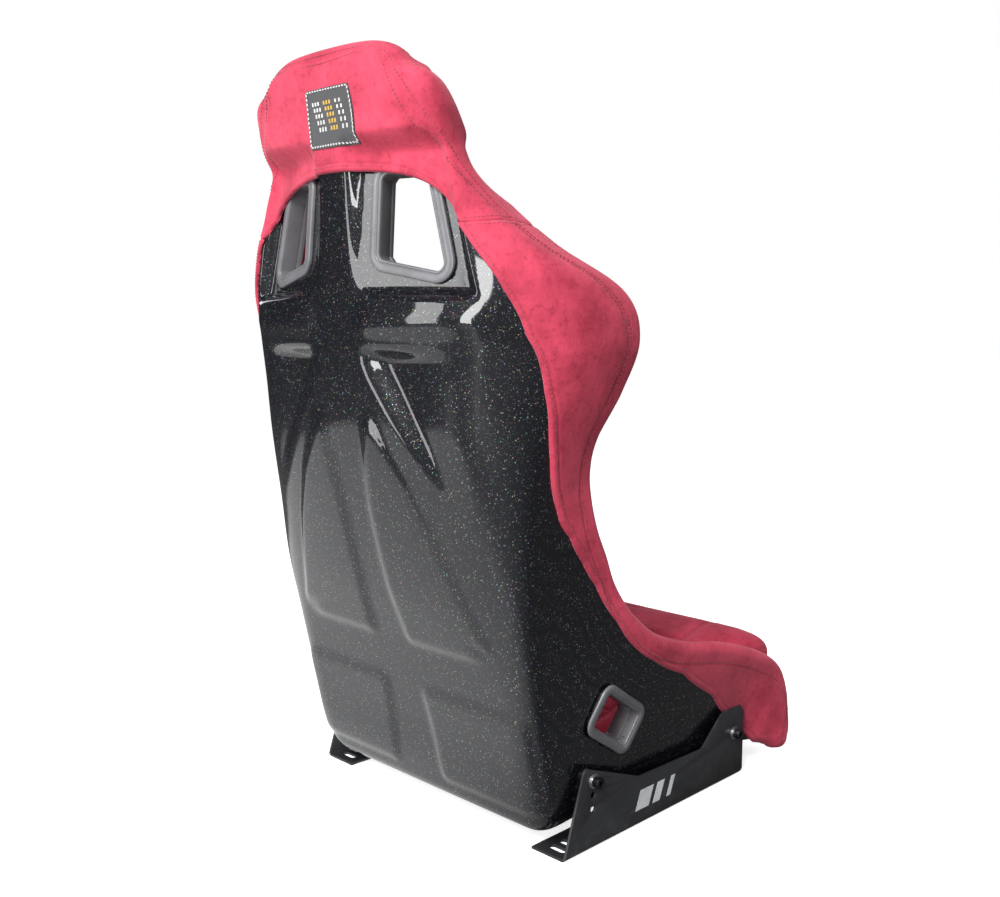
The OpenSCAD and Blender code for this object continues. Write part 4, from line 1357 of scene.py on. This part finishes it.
def makeBars():
    # slanted bars painted on the outer face of each bracket
    for side, word in ((-1, "Left"), (1, "Right")):
        verts, faces = [], []
        for k, wide in enumerate((26, 14, 8)):
            rear = 28 - k * 34 + (0, 0, 6)[k]
            low, high, slant = 20, 44, 10
            start = len(verts)
            outline = [(rear, low), (rear - slant, high), (rear - slant - wide, high), (rear - wide, low)]
            for out in (221.0, 221.25):
                verts += [((side * out), y + 25, z) for y, z in outline]
            faces += [tuple(start + j for j in (3, 2, 1, 0)), tuple(start + 4 + j for j in range(4))]
            faces += [(start + j, start + (j + 1) % 4, start + 4 + (j + 1) % 4, start + 4 + j) for j in range(4)]
        piece = meshPiece("bracketBars" + word, [tuple(c * mm for c in v) for v in verts], faces)
        tidyMesh(piece, 0.000001)
        finishPiece(piece, whitePaint, root, (), 30)


makeBars()
print("patch and bars made")


# ---- studio ----------------------------------------------------------------------------
studio = {"floor": 60.0, "key": 120, "soft": 26, "tall": 30, "fill": 9, "rim": 12, "glow": 0.75,
          "pool": 0.95, "poolFrom": 0.85, "poolTo": 1.25, "poolAt": (-0.72, -0.85, 0)}


def addArea(name, place, target, size, power, sizeY=None):
    data = bpy.data.lights.new(name, "AREA")
    data.energy = power
    data.size = size
    if sizeY:
        data.shape = "RECTANGLE"
        data.size_y = sizeY
    light = bpy.data.objects.new(name, data)
    light.location = place
    light.rotation_euler = (Vector(target) - Vector(place)).to_track_quat("-Z", "Y").to_euler()
    bpy.context.scene.collection.objects.link(light)
    return light


def makeStudio():
    bpy.ops.object.select_all(action="DESELECT")
    bpy.ops.mesh.primitive_plane_add(size=studio["floor"], location=(0, 0, 0))
    floor = bpy.context.object
    floor.name = "studioFloor"
    material, tree, shader, place = newMaterial("paleFloor", (0.8, 0.8, 0.8), Roughness=0.7)
    shader.inputs["Emission Color"].default_value = (1, 1, 1, 1)
    path = addNode(tree, "LightPath")
    shift = addNode(tree, "VectorMath", operation="ADD")
    shift.inputs[1].default_value = studio["poolAt"]
    away = addNode(tree, "VectorMath", operation="LENGTH")
    tone = mixColors(tree, path.outputs["Is Camera Ray"], (0.1, 0.1, 0.1), (0.8, 0.8, 0.8))
    tree.links.new(colorSockets(tone)[2], shader.inputs["Base Color"])
    pool = addNode(tree, "MapRange", **{"From Min": studio["poolFrom"], "From Max": studio["poolTo"],
                                        "To Min": studio["pool"], "To Max": 0.0})
    pool.interpolation_type = "SMOOTHSTEP"
    pick = addNode(tree, "Mix", data_type="FLOAT")
    pick.inputs["B"].default_value = studio["glow"]
    tree.links.new(place, shift.inputs[0])
    tree.links.new(shift.outputs["Vector"], away.inputs[0])
    tree.links.new(away.outputs["Value"], pool.inputs["Value"])
    tree.links.new(path.outputs["Is Camera Ray"], pick.inputs["Factor"])
    tree.links.new(pool.outputs["Result"], pick.inputs["A"])
    tree.links.new(pick.outputs["Result"], shader.inputs["Emission Strength"])
    floor.data.materials.append(material)
    addArea("keyLight", (-0.9, 2.3, 2.4), (0, 0.2, 0.6), 1.3, studio["key"])
    addArea("tallBox", (-1.15, 2.9, 0.75), (0, 0.2, 0.5), 0.45, studio["tall"], 1.3)
    addArea("softBox", (0.95, 2.6, 0.95), (0, 0.2, 0.5), 0.7, studio["soft"], 1.7)
    addArea("fillLight", (-2.4, -0.9, 1.2), (0, 0, 0.4), 1.4, studio["fill"])
    addArea("rimLight", (2.2, -0.6, 1.8), (0, 0.1, 0.5), 1.0, studio["rim"], 2.0)
    world = bpy.data.worlds.new("studioWorld")
    bpy.context.scene.world = world
    world.use_nodes = True
    tree = world.node_tree
    tree.nodes.clear()
    path = addNode(tree, "LightPath")
    seen = addNode(tree, "Background", Color=(1, 1, 1, 1), Strength=1.0)
    lit = addNode(tree, "Background", Color=(0.94, 0.96, 1, 1), Strength=0.38)
    mirror = addNode(tree, "Background", Color=(1, 1, 1, 1), Strength=0.03)
    first, second = addNode(tree, "MixShader"), addNode(tree, "MixShader")
    end = addNode(tree, "OutputWorld")
    tree.links.new(path.outputs["Is Glossy Ray"], first.inputs[0])
    tree.links.new(lit.outputs[0], first.inputs[1])
    tree.links.new(mirror.outputs[0], first.inputs[2])
    tree.links.new(path.outputs["Is Camera Ray"], second.inputs[0])
    tree.links.new(first.outputs[0], second.inputs[1])
    tree.links.new(seen.outputs[0], second.inputs[2])
    tree.links.new(second.outputs[0], end.inputs["Surface"])


makeStudio()
bpy.context.scene.view_settings.view_transform = "Standard"

print("done")
